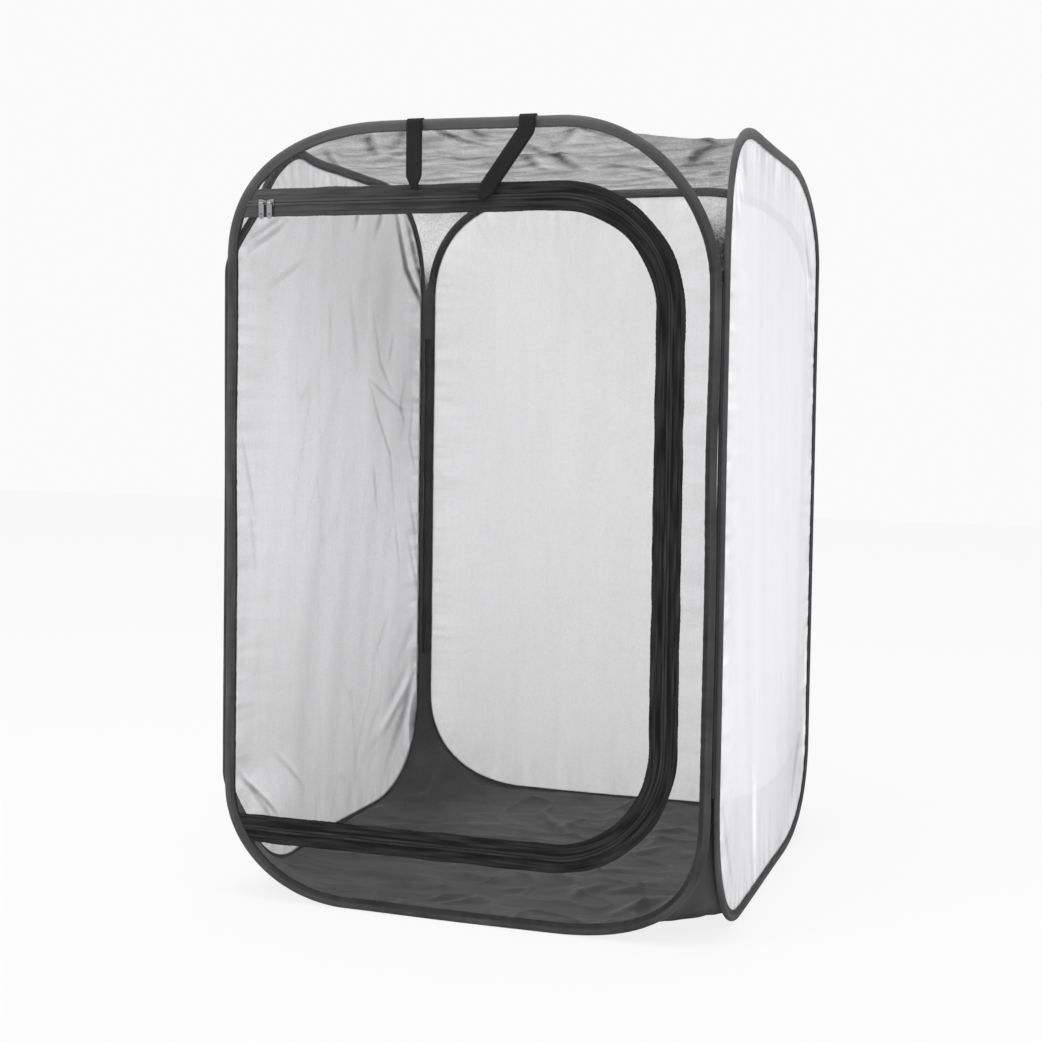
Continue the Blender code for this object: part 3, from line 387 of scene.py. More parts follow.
class Wall:
    """One wall's plane, measured from its binding in the CAD model."""

    def __init__(self, name, run, normal):
        low, high = (Vector(point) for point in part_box(f"{name}_binding"))
        middle = (low + high) / 2
        self.name = name
        self.run = Vector(run)
        self.normal = Vector(normal)
        self.origin = Vector((middle.x, middle.y, 0))
        self.width = abs((high - low).dot(self.run))
        self.height = high.z
        self.body = f"{name}_wall"

    def lean(self, along, height):
        """How far the hoop's front corners lean in towards the inside of the cage."""
        reach = LEANS.get(self.name)
        if reach is None:
            return 0.0
        top, bottom = reach
        forward = ease((along - LEAN_FROM) / LEAN_REACH)
        high = ease((height - LEAN_TOP_FROM) / LEAN_TOP_REACH)
        low = ease((LEAN_BOTTOM_FROM - height) / LEAN_BOTTOM_REACH)
        return forward * (top * high + bottom * low)

    def point(self, along, height, inward=0.0):
        inward += self.lean(along, height)
        return self.origin + self.run * along + Vector((0, 0, height)) + self.normal * inward


WALLS = {
    "front": Wall("front", (1, 0, 0), (0, 1, 0)),
    "right": Wall("right", (0, 1, 0), (-1, 0, 0)),
    "back": Wall("back", (-1, 0, 0), (0, -1, 0)),
    "left": Wall("left", (0, -1, 0), (1, 0, 0)),
}
EDGES = (("front", "right"), ("right", "back"), ("back", "left"), ("left", "front"))


def corner_points(wall, corner, steps=CORNER_STEPS):
    """The wire's middle line round one corner, from the run to the side."""
    across_share, up_share, fullness = CORNER_SHARES[wall.name][corner]
    half = wall.width / 2 - BULGE
    side = 1 if corner.endswith("right") else -1
    points = []
    for i in range(steps + 1):
        t = i / steps
        near = (1 - t) ** 3 + 3 * (1 - t) ** 2 * t * (1 - fullness)
        far = t**3 + 3 * t**2 * (1 - t) * (1 - fullness)
        rise = far * up_share * CORNER_REACH
        height = BULGE + rise if corner.startswith("bottom") else wall.height - BULGE - rise
        points.append((side * (half - near * across_share * CORNER_REACH), height))
    return points


def hoop_line(wall):
    """The wire's closed middle line as an array, anticlockwise from the tape's join."""
    points = [(-TAPE_JOIN_SHARE * wall.width, BULGE)]
    for corner in CORNER_ORDER:
        part = corner_points(wall, corner)
        points += part if corner in ("bottom_right", "top_left") else part[::-1]
    return np.array(points)


def closed_normals(points):
    ahead = np.roll(points, -1, axis=0) - np.roll(points, 1, axis=0)
    ahead /= np.linalg.norm(ahead, axis=1)[:, None]
    return np.stack([ahead[:, 1], -ahead[:, 0]], axis=1)


def resample(points, step, closed):
    """Points at equal distances along a line, with the distance of each."""
    line = np.vstack([points, points[:1]]) if closed else points
    lengths = np.concatenate([[0], np.cumsum(np.linalg.norm(np.diff(line, axis=0), axis=1))])
    count = max(2, round(lengths[-1] / step))
    at = np.linspace(0, lengths[-1], count + 1)
    if closed:
        at = at[:-1]
    return np.stack([np.interp(at, lengths, line[:, k]) for k in (0, 1)], axis=1), at


def offset_line(wall, outward):
    points, _ = resample(hoop_line(wall), 4 * MM, True)
    return points + closed_normals(points) * outward


def cross_limits(line, height):
    """The lowest and highest along where a closed line crosses a height."""
    following = np.roll(line, -1, axis=0)
    low = np.minimum(line[:, 1], following[:, 1])
    high = np.maximum(line[:, 1], following[:, 1])
    hit = (low <= height) & (height < high)
    share = (height - line[hit, 1]) / (following[hit, 1] - line[hit, 1])
    along = line[hit, 0] + share * (following[hit, 0] - line[hit, 0])
    return along.min(), along.max()


def make_object(name, verts, faces, surface, smooth=True):
    mesh = bpy.data.meshes.new(name)
    mesh.from_pydata([tuple(v) for v in verts], [], faces)
    mesh.validate()
    mesh.update()
    obj = bpy.data.objects.new(name, mesh)
    bpy.context.scene.collection.objects.link(obj)
    mesh.materials.append(surface)
    if smooth:
        mesh.shade_smooth()
    return obj


def grid_faces(rows, columns, close_rows=False, close_columns=False):
    faces = []
    for j in range(rows if close_rows else rows - 1):
        for i in range(columns if close_columns else columns - 1):
            a = j * columns + i
            b = j * columns + (i + 1) % columns
            k = (j + 1) % rows * columns
            faces.append((a, b, k + (i + 1) % columns, k + i))
    return faces


def end_faces(columns, last):
    """The two faces that close a tube of rows, whose last row starts at the vertex last."""
    return [tuple(range(columns))[::-1], tuple(last + i for i in range(columns))]


def node_tree(name):
    surface = bpy.data.materials.new(name)
    surface.use_nodes = True
    tree = surface.node_tree
    return surface, tree, tree.nodes["Principled BSDF"]


def math_node(tree, operation, a, b):
    node = tree.nodes.new("ShaderNodeMath")
    node.operation = operation
    for socket, value in zip(node.inputs, (a, b)):
        if hasattr(value, "links"):
            tree.links.new(value, socket)
        else:
            socket.default_value = value
    return node.outputs[0]


def total(tree, *parts):
    """The sum of several values."""
    value = parts[0]
    for part in parts[1:]:
        value = math_node(tree, "ADD", value, part)
    return value


def product(tree, a, b):
    return math_node(tree, "MULTIPLY", a, b)


def mapped(tree, scale):
    """Object coordinates, which are the cage's own at rest, scaled."""
    place = tree.nodes.new("ShaderNodeTexCoord")
    mapping = tree.nodes.new("ShaderNodeMapping")
    mapping.inputs["Scale"].default_value = scale
    tree.links.new(place.outputs["Object"], mapping.inputs["Vector"])
    return mapping.outputs[0]


def noise_value(tree, vector, scale, detail=2.0, roughness=0.5):
    node = tree.nodes.new("ShaderNodeTexNoise")
    node.inputs["Scale"].default_value = scale
    node.inputs["Detail"].default_value = detail
    node.inputs["Roughness"].default_value = roughness
    tree.links.new(vector, node.inputs["Vector"])
    return node.outputs["Fac"]


def wave_value(tree, vector, scale, direction):
    node = tree.nodes.new("ShaderNodeTexWave")
    node.bands_direction = direction
    node.inputs["Scale"].default_value = scale
    node.inputs["Distortion"].default_value = 0.0
    tree.links.new(vector, node.inputs["Vector"])
    return node.outputs["Fac"]


def ramp(tree, value, stops):
    node = tree.nodes.new("ShaderNodeValToRGB")
    while len(node.color_ramp.elements) < len(stops):
        node.color_ramp.elements.new(0.5)
    for element, (place, colour) in zip(node.color_ramp.elements, stops):
        element.position = place
        element.color = (*colour, 1) if len(colour) == 3 else colour
    tree.links.new(value, node.inputs[0])
    return node.outputs[0]


def bump(tree, shader, height, strength, distance):
    node = tree.nodes.new("ShaderNodeBump")
    node.inputs["Strength"].default_value = strength
    node.inputs["Distance"].default_value = distance
    tree.links.new(height, node.inputs["Height"])
    tree.links.new(node.outputs[0], shader.inputs["Normal"])


def grey(level):
    return (level, level, level * 1.02)


def attribute(tree, name):
    node = tree.nodes.new("ShaderNodeAttribute")
    node.attribute_name = name
    return node.outputs["Fac"]


def woven(name, dark, light, thread, roughness=0.82, sheen=0.1, specular=0.15, wear_and_painted_light=0.0):
    """Matte woven tape: crossing threads, soft patches, and the painted light and shade that the piece
    carries in its crease attribute, added to its tone by the given factor.
    """
    surface, tree, shader = node_tree(name)
    place = mapped(tree, (1, 1, 1))
    per_metre = 1 / thread / (2 * math.pi) * 2
    weave_x = wave_value(tree, place, per_metre, "X")
    weave_y = wave_value(tree, place, per_metre, "Y")
    weave_z = wave_value(tree, place, per_metre, "Z")
    weave = total(tree, weave_x, weave_y, weave_z)
    patches = noise_value(tree, place, 14, 4, 0.6)
    grain = noise_value(tree, place, 900, 2, 0.6)
    mixed = total(tree, product(tree, patches, 0.6), product(tree, grain, 0.4))
    spread = product(tree, math_node(tree, "SUBTRACT", mixed, 0.35), (light - dark) / 0.3)
    # painted light and shade: the crease attribute, scaled by the given factor, lightens or darkens the
    # tone
    level = total(tree, spread, product(tree, attribute(tree, "crease"), wear_and_painted_light), dark)
    floor_level = math_node(tree, "MAXIMUM", level, dark * 0.5)
    colour = ramp(tree, floor_level, [(0.0, grey(0.0)), (1.0, grey(1.0))])
    tree.links.new(colour, shader.inputs["Base Color"])
    shader.inputs["Roughness"].default_value = roughness
    shader.inputs["Specular IOR Level"].default_value = specular
    shader.inputs["Sheen Weight"].default_value = sheen
    shader.inputs["Sheen Roughness"].default_value = 0.5
    bump(tree, shader, total(tree, weave, product(tree, grain, 1.5)), 0.5, 0.25 * MM)
    return surface


def netting(name, tone, alpha, streak, grain_share, streak_share, painted_shade_tone=0.0, crease_alpha=0.0):
    """Fine see-through netting: grain of the mesh, long soft streaks where it is drawn, and the painted
    light and shade of its creases and fields from the crease attribute, which also makes the net closer."""
    surface, tree, shader = node_tree(name)
    shader.inputs["Roughness"].default_value = 0.9
    place = mapped(tree, (1, 1, 1))
    stretched = mapped(tree, streak)
    grain = noise_value(tree, place, 520, 1, 0.5)
    threads = noise_value(tree, stretched, 60, 3, 0.6)
    cloud = noise_value(tree, stretched, 7, 3, 0.55)
    crease = attribute(tree, "crease")
    value = alpha
    for pattern, share in ((grain, grain_share * 2), (threads, streak_share), (cloud, streak_share)):
        value = total(tree, product(tree, math_node(tree, "SUBTRACT", pattern, 0.5), share), value)
    value = total(tree, value, product(tree, crease, crease_alpha))
    clamped = tree.nodes.new("ShaderNodeClamp")
    tree.links.new(value, clamped.inputs[0])
    tree.links.new(clamped.outputs[0], shader.inputs["Alpha"])
    # painted shade: the crease attribute darkens the net's colour, and negative values paint it lighter
    shade = math_node(tree, "SUBTRACT", tone, product(tree, crease, painted_shade_tone))
    colour = ramp(tree, shade, [(0.0, grey(0.0)), (1.0, grey(1.0))])
    tree.links.new(colour, shader.inputs["Base Color"])
    bump(tree, shader, threads, 0.35, 0.6 * MM)
    return surface


def metal(name, tone, roughness):
    surface, tree, shader = node_tree(name)
    place = mapped(tree, (1, 1, 1))
    wear_and_painted_light = noise_value(tree, place, 700, 3, 0.6)
    colour = ramp(tree, wear_and_painted_light, [(0.3, grey(tone * 0.8)), (0.7, grey(tone))])
    tree.links.new(colour, shader.inputs["Base Color"])
    dulled = ramp(tree, wear_and_painted_light, [(0.3, grey(roughness)), (0.8, grey(roughness * 1.6))])
    tree.links.new(dulled, shader.inputs["Roughness"])
    shader.inputs["Metallic"].default_value = 1.0
    bump(tree, shader, wear_and_painted_light, 0.15, 0.1 * MM)
    return surface


TAPE_FABRIC = woven("binding_tape_fabric", 0.018, 0.034, 0.9 * MM, sheen=0.08, wear_and_painted_light=0.05)
SEAM_FABRIC = woven("seam_fabric", 0.015, 0.030, 0.9 * MM)
THREAD = woven("sewing_thread", 0.012, 0.030, 0.5 * MM)
ZIP_FABRIC = woven("zip_tape_fabric", 0.005, 0.011, 0.8 * MM, 0.7, 0.02, 0.12, 0.05)
COIL_NYLON = woven("zip_coil_nylon", 0.005, 0.009, 0.5 * MM, 0.45, 0.0, 0.35)
WEBBING = woven("strap_webbing", 0.006, 0.013, 1.1 * MM, 0.78, 0.03)
FLOOR_FABRIC = woven("floor_cloth_fabric", 0.024, 0.038, 1.0 * MM, 0.5, 0.05, 0.35, 0.03)
# one netting on all three walls; the right wall's copy has a darker tone, painted shade to hold down the
# stronger light on it
WALL_NETS = {
    "right": netting("right_netting", 0.72, 0.90, (1, 1, 0.08), 0.04, 0.10, 0.55, 0.1),
    "back": netting("back_netting", 0.90, 0.64, (1, 1, 0.08), 0.05, 0.12, 0.50, 0.1),
    "left": netting("left_netting", 0.88, 0.72, (1, 1, 0.08), 0.05, 0.14, 0.85, 0.15),
}
FRONT_NET = netting("front_netting", 0.03, FRONT_NET_ALPHA, (1, 1, 0.1), 0.08, 0.06, 0.0, 0.25)
TOP_NET = netting("top_netting", 0.04, TOP_NET_ALPHA, (0.3, 1, 1), 0.30, 0.25, 0.0, 0.4)
ZINC = metal("plated_zinc", 0.34, 0.24)
STEEL = metal("spring_steel_wire", 0.42, 0.35)


def dress_cad():
    """Finish the CAD nodes that are shown as they are."""
    for name, node in frame["nodes"].items():
        if name.endswith("_ferrule"):
            surface = STEEL
        elif name.startswith(("slider", "pull", "zip_top_stop", "zip_bottom_stop")):
            surface = ZINC
        elif name.endswith("_seam"):
            surface = SEAM_FABRIC
        else:
            continue
        for slot in node.material_slots:
            slot.material = surface


def tape_section(pucker):
    """Half-round over the wire with two flaps, as (outward, inward). pucker thins and draws the flap."""
    section = []
    for i in range(TAPE_ROUND_STEPS + 1):
        angle = TAPE_ROUND_HALF_ANGLE * (2 * i / TAPE_ROUND_STEPS - 1)
        section.append((BULGE * math.cos(angle), BULGE * math.sin(angle)))
    flap = TAPE_HALF_FLAP * (1 - 0.12 * pucker)
    edge = -(TAPE_WIDTH - BULGE) + 0.4 * MM * pucker
    middle = edge + TAPE_DIMPLE_FROM_EDGE
    low = [(TAPE_FLAP_START, -flap), (middle, -flap * TAPE_DIMPLE_SHARE), (edge, -flap)]
    high = [(u, -w) for u, w in low[::-1]]
    return section + high + low[::-1]


def build_tape(wall):
    """Binding tape round one hoop, drawn in a little by its stitches."""
    points, at = resample(hoop_line(wall), TAPE_STEP, True)
    normals = closed_normals(points)
    seed = 17.0 * len(wall.name) + ord(wall.name[0])
    length = at[-1] + TAPE_STEP
    turn = at / length * 2 * math.pi
    wave = [wander(math.cos(t) * 2.6, math.sin(t) * 2.6, seed) for t in turn]
    points = points + normals * (np.array(wave) * TAPE_WAVE)[:, None]
    verts = []
    shades = []
    for (x, z), (nx, nz), s in zip(points, normals, at):
        pucker = wander(s / (7 * MM), seed, 0) + 0.6 * wander(s / (30 * MM), seed, 5)
        bulge = 1 + 0.05 * wander(s / (12 * MM), seed, 9)
        top_share = max(0.0, nz) ** 2
        patch = wander(s / (60 * MM), seed, 14)
        for u, w in tape_section(pucker):
            grow = min(bulge, 1) if u > -BULGE else 1
            verts.append(wall.point(x + nx * u * grow, z + nz * u * grow, w * grow))
            # painted highlight on the round, painted shade on the flaps, painted light on the top and
            # left-hand runs, and painted light or shade at puckers; patch is random tone
            round_part = TAPE_ROUND_PAINTED_HIGHLIGHT if u > -BULGE else TAPE_FLAP_PAINTED_SHADE
            shade = round_part * (0.5 + patch) + TAPE_TOP_PAINTED_LIGHT * top_share
            shades.append(shade + max(0.0, -nx) * TAPE_SIDE_PAINTED_LIGHT + pucker * TAPE_PUCKER_PAINTED_SHADE)
    columns = len(tape_section(0))
    faces = grid_faces(len(points), columns, close_rows=True, close_columns=True)
    tape = make_object(f"{wall.name}_tape", verts, faces, TAPE_FABRIC)
    set_crease(tape, shades)
    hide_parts(f"{wall.name}_binding")
    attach(tape, wall.body)
    build_stitches(wall, points, normals)
    build_wire(wall, points, normals)


def build_wire(wall, points, normals):
    """The spring wire inside the tape."""
    verts = []
    for (x, z), (nx, nz) in zip(points, normals):
        for i in range(WIRE_SIDES):
            angle = 2 * math.pi * i / WIRE_SIDES
            out = WIRE_RADIUS * math.cos(angle)
            verts.append(wall.point(x + nx * out, z + nz * out, WIRE_RADIUS * math.sin(angle)))
    faces = grid_faces(len(points), WIRE_SIDES, close_rows=True, close_columns=True)
    wire = make_object(f"{wall.name}_spring", verts, faces, STEEL)
    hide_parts(f"{wall.name}_wire")
    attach(wire, wall.body)


def build_stitches(wall, points, normals):
    """A row of stitches along the flap's edge on each face of the tape."""
    line = points + normals * -(TAPE_WIDTH - BULGE - STITCH_FROM_EDGE)
    places, _ = resample(line, STITCH_PITCH, True)
    around = closed_normals(places)
    verts = []
    faces = []
    for (x, z), (nx, nz) in zip(places, around):
        ahead = (-nz, nx)
        for face in (-1, 1):
            base = len(verts)
            depth = face * TAPE_HALF_FLAP * TAPE_DIMPLE_SHARE
            for along, across, rise in (
                (-1, 0, 0), (0, -1, 0), (1, 0, 0), (0, 1, 0), (0, 0, 1), (0, 0, -1),
            ):
                a = along * STITCH_LENGTH / 2
                c = across * STITCH_WIDTH / 2
                w = depth + face * rise * STITCH_RISE
                verts.append(wall.point(x + ahead[0] * a + nx * c, z + ahead[1] * a + nz * c, w))
            for i in range(4):
                j = (i + 1) % 4
                faces.append((base + i, base + j, base + 4))
                faces.append((base + j, base + i, base + 5))
    stitches = make_object(f"{wall.name}_stitches", verts, faces, THREAD, smooth=False)
    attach(stitches, wall.body)


def near_line(points, line):
    """For each point its distance to a closed line, and how far round the line that is."""
    dense, at = resample(line, 8 * MM, True)
    distance = np.empty(len(points))
    place = np.empty(len(points))
    for start in range(0, len(points), 4000):
        part = points[start : start + 4000]
        apart = np.linalg.norm(part[:, None] - dense[None], axis=2)
        nearest = apart.argmin(axis=1)
        distance[start : start + 4000] = apart[np.arange(len(part)), nearest]
        place[start : start + 4000] = at[nearest]
    return distance, place


def wander(x, y, z):
    """Smooth noise from about -1 to 1."""
    return noise.noise(Vector((x, y, z)))


def ridge(value, sharpness):
    """One at value 0 and falling away on both sides: a fold's crest."""
    return math.exp(-abs(value) * sharpness)


def crease_relief(name, points):
    """Height, painted light and painted shade of the wall's single creases and soft fields at the points.
    """
    rise = np.zeros(len(points))
    shade = np.zeros(len(points))
    for line, width, height, dark in CREASES.get(name, ()):
        line = np.array(line).reshape(-1, 2) * MM
        lengths = np.linalg.norm(np.diff(line, axis=0), axis=1)
        total = lengths.sum()
        best = np.full(len(points), np.inf)
        side = np.zeros(len(points))
        along = np.zeros(len(points))
        before = 0.0
        for start, finish, length in zip(line, line[1:], lengths):
            ahead = (finish - start) / length
            offset = points - start
            t = np.clip(offset @ ahead, 0, length)
            apart = offset - t[:, None] * ahead
            distance = np.linalg.norm(apart, axis=1)
            nearer = distance < best
            best[nearer] = distance[nearer]
            side[nearer] = np.sign(ahead[0] * apart[nearer, 1] - ahead[1] * apart[nearer, 0])
            along[nearer] = (before + t)[nearer] / total
            before += length
        taper = np.sin(np.pi * np.clip(along * 0.92 + 0.04, 0, 1)) ** 0.6
        reach = width * MM
        crest = np.exp(-((best / reach) ** 2)) * taper
        rise += crest * height * MM * 0.8
        # painted shade on one side of each crease and a painted highlight on its crest; a negative shade
        # swaps them
        lee = np.exp(-(((best - side * reach * 0.8) / reach) ** 2)) * taper
        shade += dark * (1.2 * lee - 0.5 * crest)
    for place, reach, dark in FIELDS.get(name, ()):
        away = np.linalg.norm(points - np.array(place) * MM, axis=1) / (reach * MM)
        shade += dark * np.exp(-(away**2))
    return rise, shade


def net_relief(wall, points, soft):
    """How far the netting stands out of its plane, and its painted light and shade there: creases, folds,
    puckers and the painted fields.
    """
    distance, place = near_line(points, offset_line(wall, -(TAPE_WIDTH - BULGE)))
    rises, fields = crease_relief(wall.name, points)
    seed = 3.1 * ord(wall.name[0])
    calm = CALM.get(wall.name, 1.0) * soft
    relief = []
    shades = []
    for (x, z), d, s, rise, field in zip(points, distance, place, rises, fields):
        hold = min(1.0, d / NET_HELD_REACH)
        folds = wander(x * 26 + z * 5, z * 2.2, seed)
        long_fold = wander(x * 9 - z * 3, z * 1.1, seed + 7)
        slant = wander(x * 20 + z * 5, z * 5 - x * 3, seed + 9)
        pucker = wander(s / (11 * MM), d / (60 * MM), seed + 3)
        drawn = math.exp(-d / NET_DRAWN_REACH) * min(1.0, d / NET_DRAWN_START)
        patch = max(0.0, wander(x * 5, z * 5, seed + 20) * 2)
        crease = ridge(slant, 34) * patch
        out = folds * FOLD_HEIGHT + long_fold * LONG_FOLD_HEIGHT + crease * SMALL_CREASE_HEIGHT
        drawn_out = pucker * PUCKER_HEIGHT * drawn
        relief.append(out * hold * calm + drawn_out + rise * min(1.0, d / CREASE_START) * soft)
        # painted shade darkening the small creases, painted light and shade along the folds and puckers,
        # and the painted fields
        shades.append((crease * 0.18 + folds * 0.12) * hold * calm + field + pucker * drawn * 0.5)
    return relief, shades


def set_crease(piece, shades):
    # the crease attribute carries the piece's painted light and shade, and on the nets also how close they
    # are
    layer = piece.data.attributes.new("crease", "FLOAT", "POINT")
    layer.data.foreach_set("value", np.array(shades, dtype=np.float32))


def sheet_from_rows(name, wall, rows, soft, surface):
    """A net made from rows of (along, height) with equal counts, given its relief."""
    flat = np.array([point for row in rows for point in row])
    relief, shades = net_relief(wall, flat, soft)
    verts = [wall.point(x, z, w) for (x, z), w in zip(flat, relief)]
    faces = grid_faces(len(rows), len(rows[0]))
    net = make_object(name, verts, faces, surface)
    set_crease(net, shades)
    return net


def build_wall_net(wall):
    line = offset_line(wall, -NET_EDGE_DEPTH)
    low = line[:, 1].min()
    high = line[:, 1].max()
    rows = []
    count = round((high - low) / NET_STEP)
    columns = round(wall.width / NET_STEP)
    for j in range(count + 1):
        height = low + (high - low) * j / count
        probe = min(max(height, low + 0.05 * MM), high - 0.05 * MM)
        left, right = cross_limits(line, probe)
        rows.append([(left + (right - left) * i / columns, height) for i in range(columns + 1)])
    net = sheet_from_rows(f"{wall.name}_netting", wall, rows, 1.0, WALL_NETS[wall.name])
    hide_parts(f"{wall.name}_net")
    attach(net, wall.body)


def zip_side(wall):
    return wall.width / 2 - ZIP_SIDE_FROM_EDGE


def zip_line(wall, outward, start, end):
    """A line along the zip at a distance outward from its middle, from the top left end round to the
    bottom left end. start and end are how far along the two ends lie."""
    radius = ZIP_CORNER_RADIUS + outward
    right = zip_side(wall) - ZIP_CORNER_RADIUS
    points = [(start, ZIP_TOP_HEIGHT + outward)]
    for first, last, centre in (
        (90, 0, ZIP_TOP_HEIGHT - ZIP_CORNER_RADIUS),
        (0, -90, ZIP_BOTTOM_HEIGHT + ZIP_CORNER_RADIUS),
    ):
        for i in range(25):
            angle = math.radians(first + (last - first) * i / 24)
            points.append((right + radius * math.cos(angle), centre + radius * math.sin(angle)))
    points.append((end, ZIP_BOTTOM_HEIGHT - outward))
    return np.array(points)


def left_limit(wall, depth, height):
    return cross_limits(offset_line(wall, -depth), height)[0]


def build_surround_net():
    wall = WALLS["front"]
    inset = NET_FROM_ZIP
    top = ZIP_TOP_HEIGHT + inset
    bottom = ZIP_BOTTOM_HEIGHT - inset
    start = left_limit(wall, NET_EDGE_DEPTH, top)
    end = left_limit(wall, NET_EDGE_DEPTH, bottom)
    inner = zip_line(wall, inset, start, end)
    hoop = offset_line(wall, -NET_EDGE_DEPTH)
    order = np.roll(hoop, -int(np.argmin(np.hypot(hoop[:, 0] - start, hoop[:, 1] - top))), axis=0)[::-1]
    stop = int(np.argmin(np.hypot(order[:, 0] - end, order[:, 1] - bottom)))
    outer = order[: stop + 1]
    rows = []
    for a, b in zip(even(inner, SURROUND_STATIONS), even(outer, SURROUND_STATIONS)):
        rows.append([tuple(a + (b - a) * i / SURROUND_STEPS) for i in range(SURROUND_STEPS + 1)])
    strip = ZIP_SIDE_FROM_EDGE - inset
    flats = (
        (wall.width, wall.height - top),
        (strip, top - bottom),
        (wall.width, bottom),
    )
    for name, first, last, flat in zip(("top", "side", "bottom"), SURROUND_CUTS, SURROUND_CUTS[1:], flats):
        part = rows[first : last + 1]
        net = sheet_from_rows(f"surround_netting_{name}", wall, part, 0.6, FRONT_NET)
        if name == "top":
            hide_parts("front_surround_net")
        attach(net, wall.body)


def even(points, steps):
    lengths = np.concatenate([[0], np.cumsum(np.linalg.norm(np.diff(points, axis=0), axis=1))])
    at = np.linspace(0, lengths[-1], steps + 1)
    return np.stack([np.interp(at, lengths, points[:, k]) for k in (0, 1)], axis=1)


def build_door_net():
    wall = WALLS["front"]
    inset = NET_FROM_ZIP
    top = ZIP_TOP_HEIGHT - inset
    bottom = ZIP_BOTTOM_HEIGHT + inset
    radius = ZIP_CORNER_RADIUS - inset
    right = zip_side(wall) - inset
    hoop = offset_line(wall, -(TAPE_WIDTH - BULGE + 0.3 * MM))
    rows = []
    for j in range(DOOR_ROWS + 1):
        height = bottom + (top - bottom) * j / DOOR_ROWS
        limit = right
        over = max(bottom + radius - height, height - (top - radius), 0)
        if over > 0:
            limit = right - radius + math.sqrt(max(radius**2 - over**2, 0))
        left = cross_limits(hoop, height)[0]
        rows.append([(left + (limit - left) * i / DOOR_COLUMNS, height) for i in range(DOOR_COLUMNS + 1)])
    net = sheet_from_rows("door_netting", wall, rows, 0.8, FRONT_NET)
    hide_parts("door_net")
    fold_at_door(net)


def fold_at_door(piece):
    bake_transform(piece)


def build_zip():
    wall = WALLS["front"]
    for side, body in ((1, "front_wall"), (-1, "door")):
        name = "surround" if side == 1 else "door"
        tape = zip_tape(wall, side, f"{name}_zip_tape")
        teeth = zip_teeth(wall, side, f"{name}_zip_teeth")
        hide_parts(f"zip_{name}_tape")
        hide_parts(f"zip_{name}_coil")
        if body == "door":
            fold_at_door(tape)
            fold_at_door(teeth)
        else:
            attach(tape, body)
            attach(teeth, body)


def zip_tape(wall, side, name):
    """One side of the zip: woven tape with a piped inner edge, a fold line and a frayed outer hem."""
    depth = TAPE_WIDTH - BULGE - ZIP_TAPE_UNDER_BINDING
    rows = []
    for outward_mm, _, _ in ZIP_TAPE_PROFILE:
        outward = side * outward_mm * MM
        start = left_limit(wall, depth, ZIP_TOP_HEIGHT + outward)
        end = left_limit(wall, depth, ZIP_BOTTOM_HEIGHT - outward)
        rows.append(even(zip_line(wall, outward, start, end), ZIP_STATIONS))
    verts = []
    shades = []
    for station in range(ZIP_STATIONS + 1):
        s = station * ZIP_STEP
        top_run = max(0.0, 1 - station / ZIP_STATIONS / ZIP_TOP_RUN_SHARE)
        short_fray = wander(s / (2.4 * MM), side * 7, 1) * 0.7
        long_fray = wander(s / (40 * MM), side, 6) * 1.2
        ahead = rows[0][min(station + 1, ZIP_STATIONS)] - rows[0][max(station - 1, 0)]
        out = np.array([-ahead[1], ahead[0]]) / max(np.linalg.norm(ahead), 1e-9) * side
        for row, (outward_mm, depth_mm, pale) in zip(rows, ZIP_TAPE_PROFILE):
            share = outward_mm / ZIP_TAPE_WIDTH_MM
            wave = wander(s / (26 * MM), outward_mm / 12, side * 4) * 1.5 * share
            ripple = wander(s / (6 * MM), outward_mm / 5, side * 9) * 0.3
            edge = (short_fray + long_fray) * max(0.0, share - 0.8) / 0.2 * MM
            x, z = row[station] + out * edge
            verts.append(wall.point(x, z, (depth_mm - abs(wave) - ripple * share) * MM))
            streak = wander(s / (45 * MM), outward_mm / 1.6, side * 3)
            # the profile's paleness is painted light on the tape's relief; the top run is paler near its
            # top left end, and streaks vary at random
            shades.append(pale * 0.5 + top_run * 0.9 + streak * 0.45)
    columns = len(ZIP_TAPE_PROFILE)
    faces = grid_faces(ZIP_STATIONS + 1, columns, close_columns=True)
    faces += end_faces(columns, ZIP_STATIONS * columns)
    tape = make_object(name, verts, faces, ZIP_FABRIC)
    set_crease(tape, shades)
    return tape


def zip_teeth(wall, side, name):
    """Nylon teeth on the inner face: short rounded bars across the zip, those of the two sides in turn."""
    depth = TAPE_WIDTH - BULGE
    start = left_limit(wall, depth, ZIP_TOP_HEIGHT) + TEETH_FROM_TAPE
    end = left_limit(wall, depth, ZIP_BOTTOM_HEIGHT) + TEETH_FROM_TAPE
    places, _ = resample(zip_line(wall, 0, start, end), TOOTH_PITCH, False)
    if side == -1:
        places = (places[:-1] + places[1:]) / 2
    ahead = np.gradient(places, axis=0)
    ahead /= np.linalg.norm(ahead, axis=1)[:, None]
    out = np.stack([-ahead[:, 1], ahead[:, 0]], axis=1)
    angles = np.linspace(0, 2 * math.pi, TOOTH_SIDES + 1)[:-1]
    ring = [(math.cos(a) * TOOTH_HALF_LENGTH, math.sin(a) * TOOTH_HALF_DEPTH) for a in angles]
    verts = []
    faces = []
    for (x, z), (ax, az), (ox, oz) in zip(places, ahead, out):
        base = len(verts)
        for reach, shrink in TOOTH_STEPS:
            o = side * reach
            for along, deep in ring:
                a = along * shrink
                place = (x + ax * a + ox * o, z + az * a + oz * o, TOOTH_INWARD + deep * shrink)
                verts.append(wall.point(*place))
        bar = grid_faces(len(TOOTH_STEPS), TOOTH_SIDES, close_columns=True)
        bar += end_faces(TOOTH_SIDES, (len(TOOTH_STEPS) - 1) * TOOTH_SIDES)
        faces += [tuple(base + corner for corner in face) for face in bar]
    return make_object(name, verts, faces, COIL_NYLON)


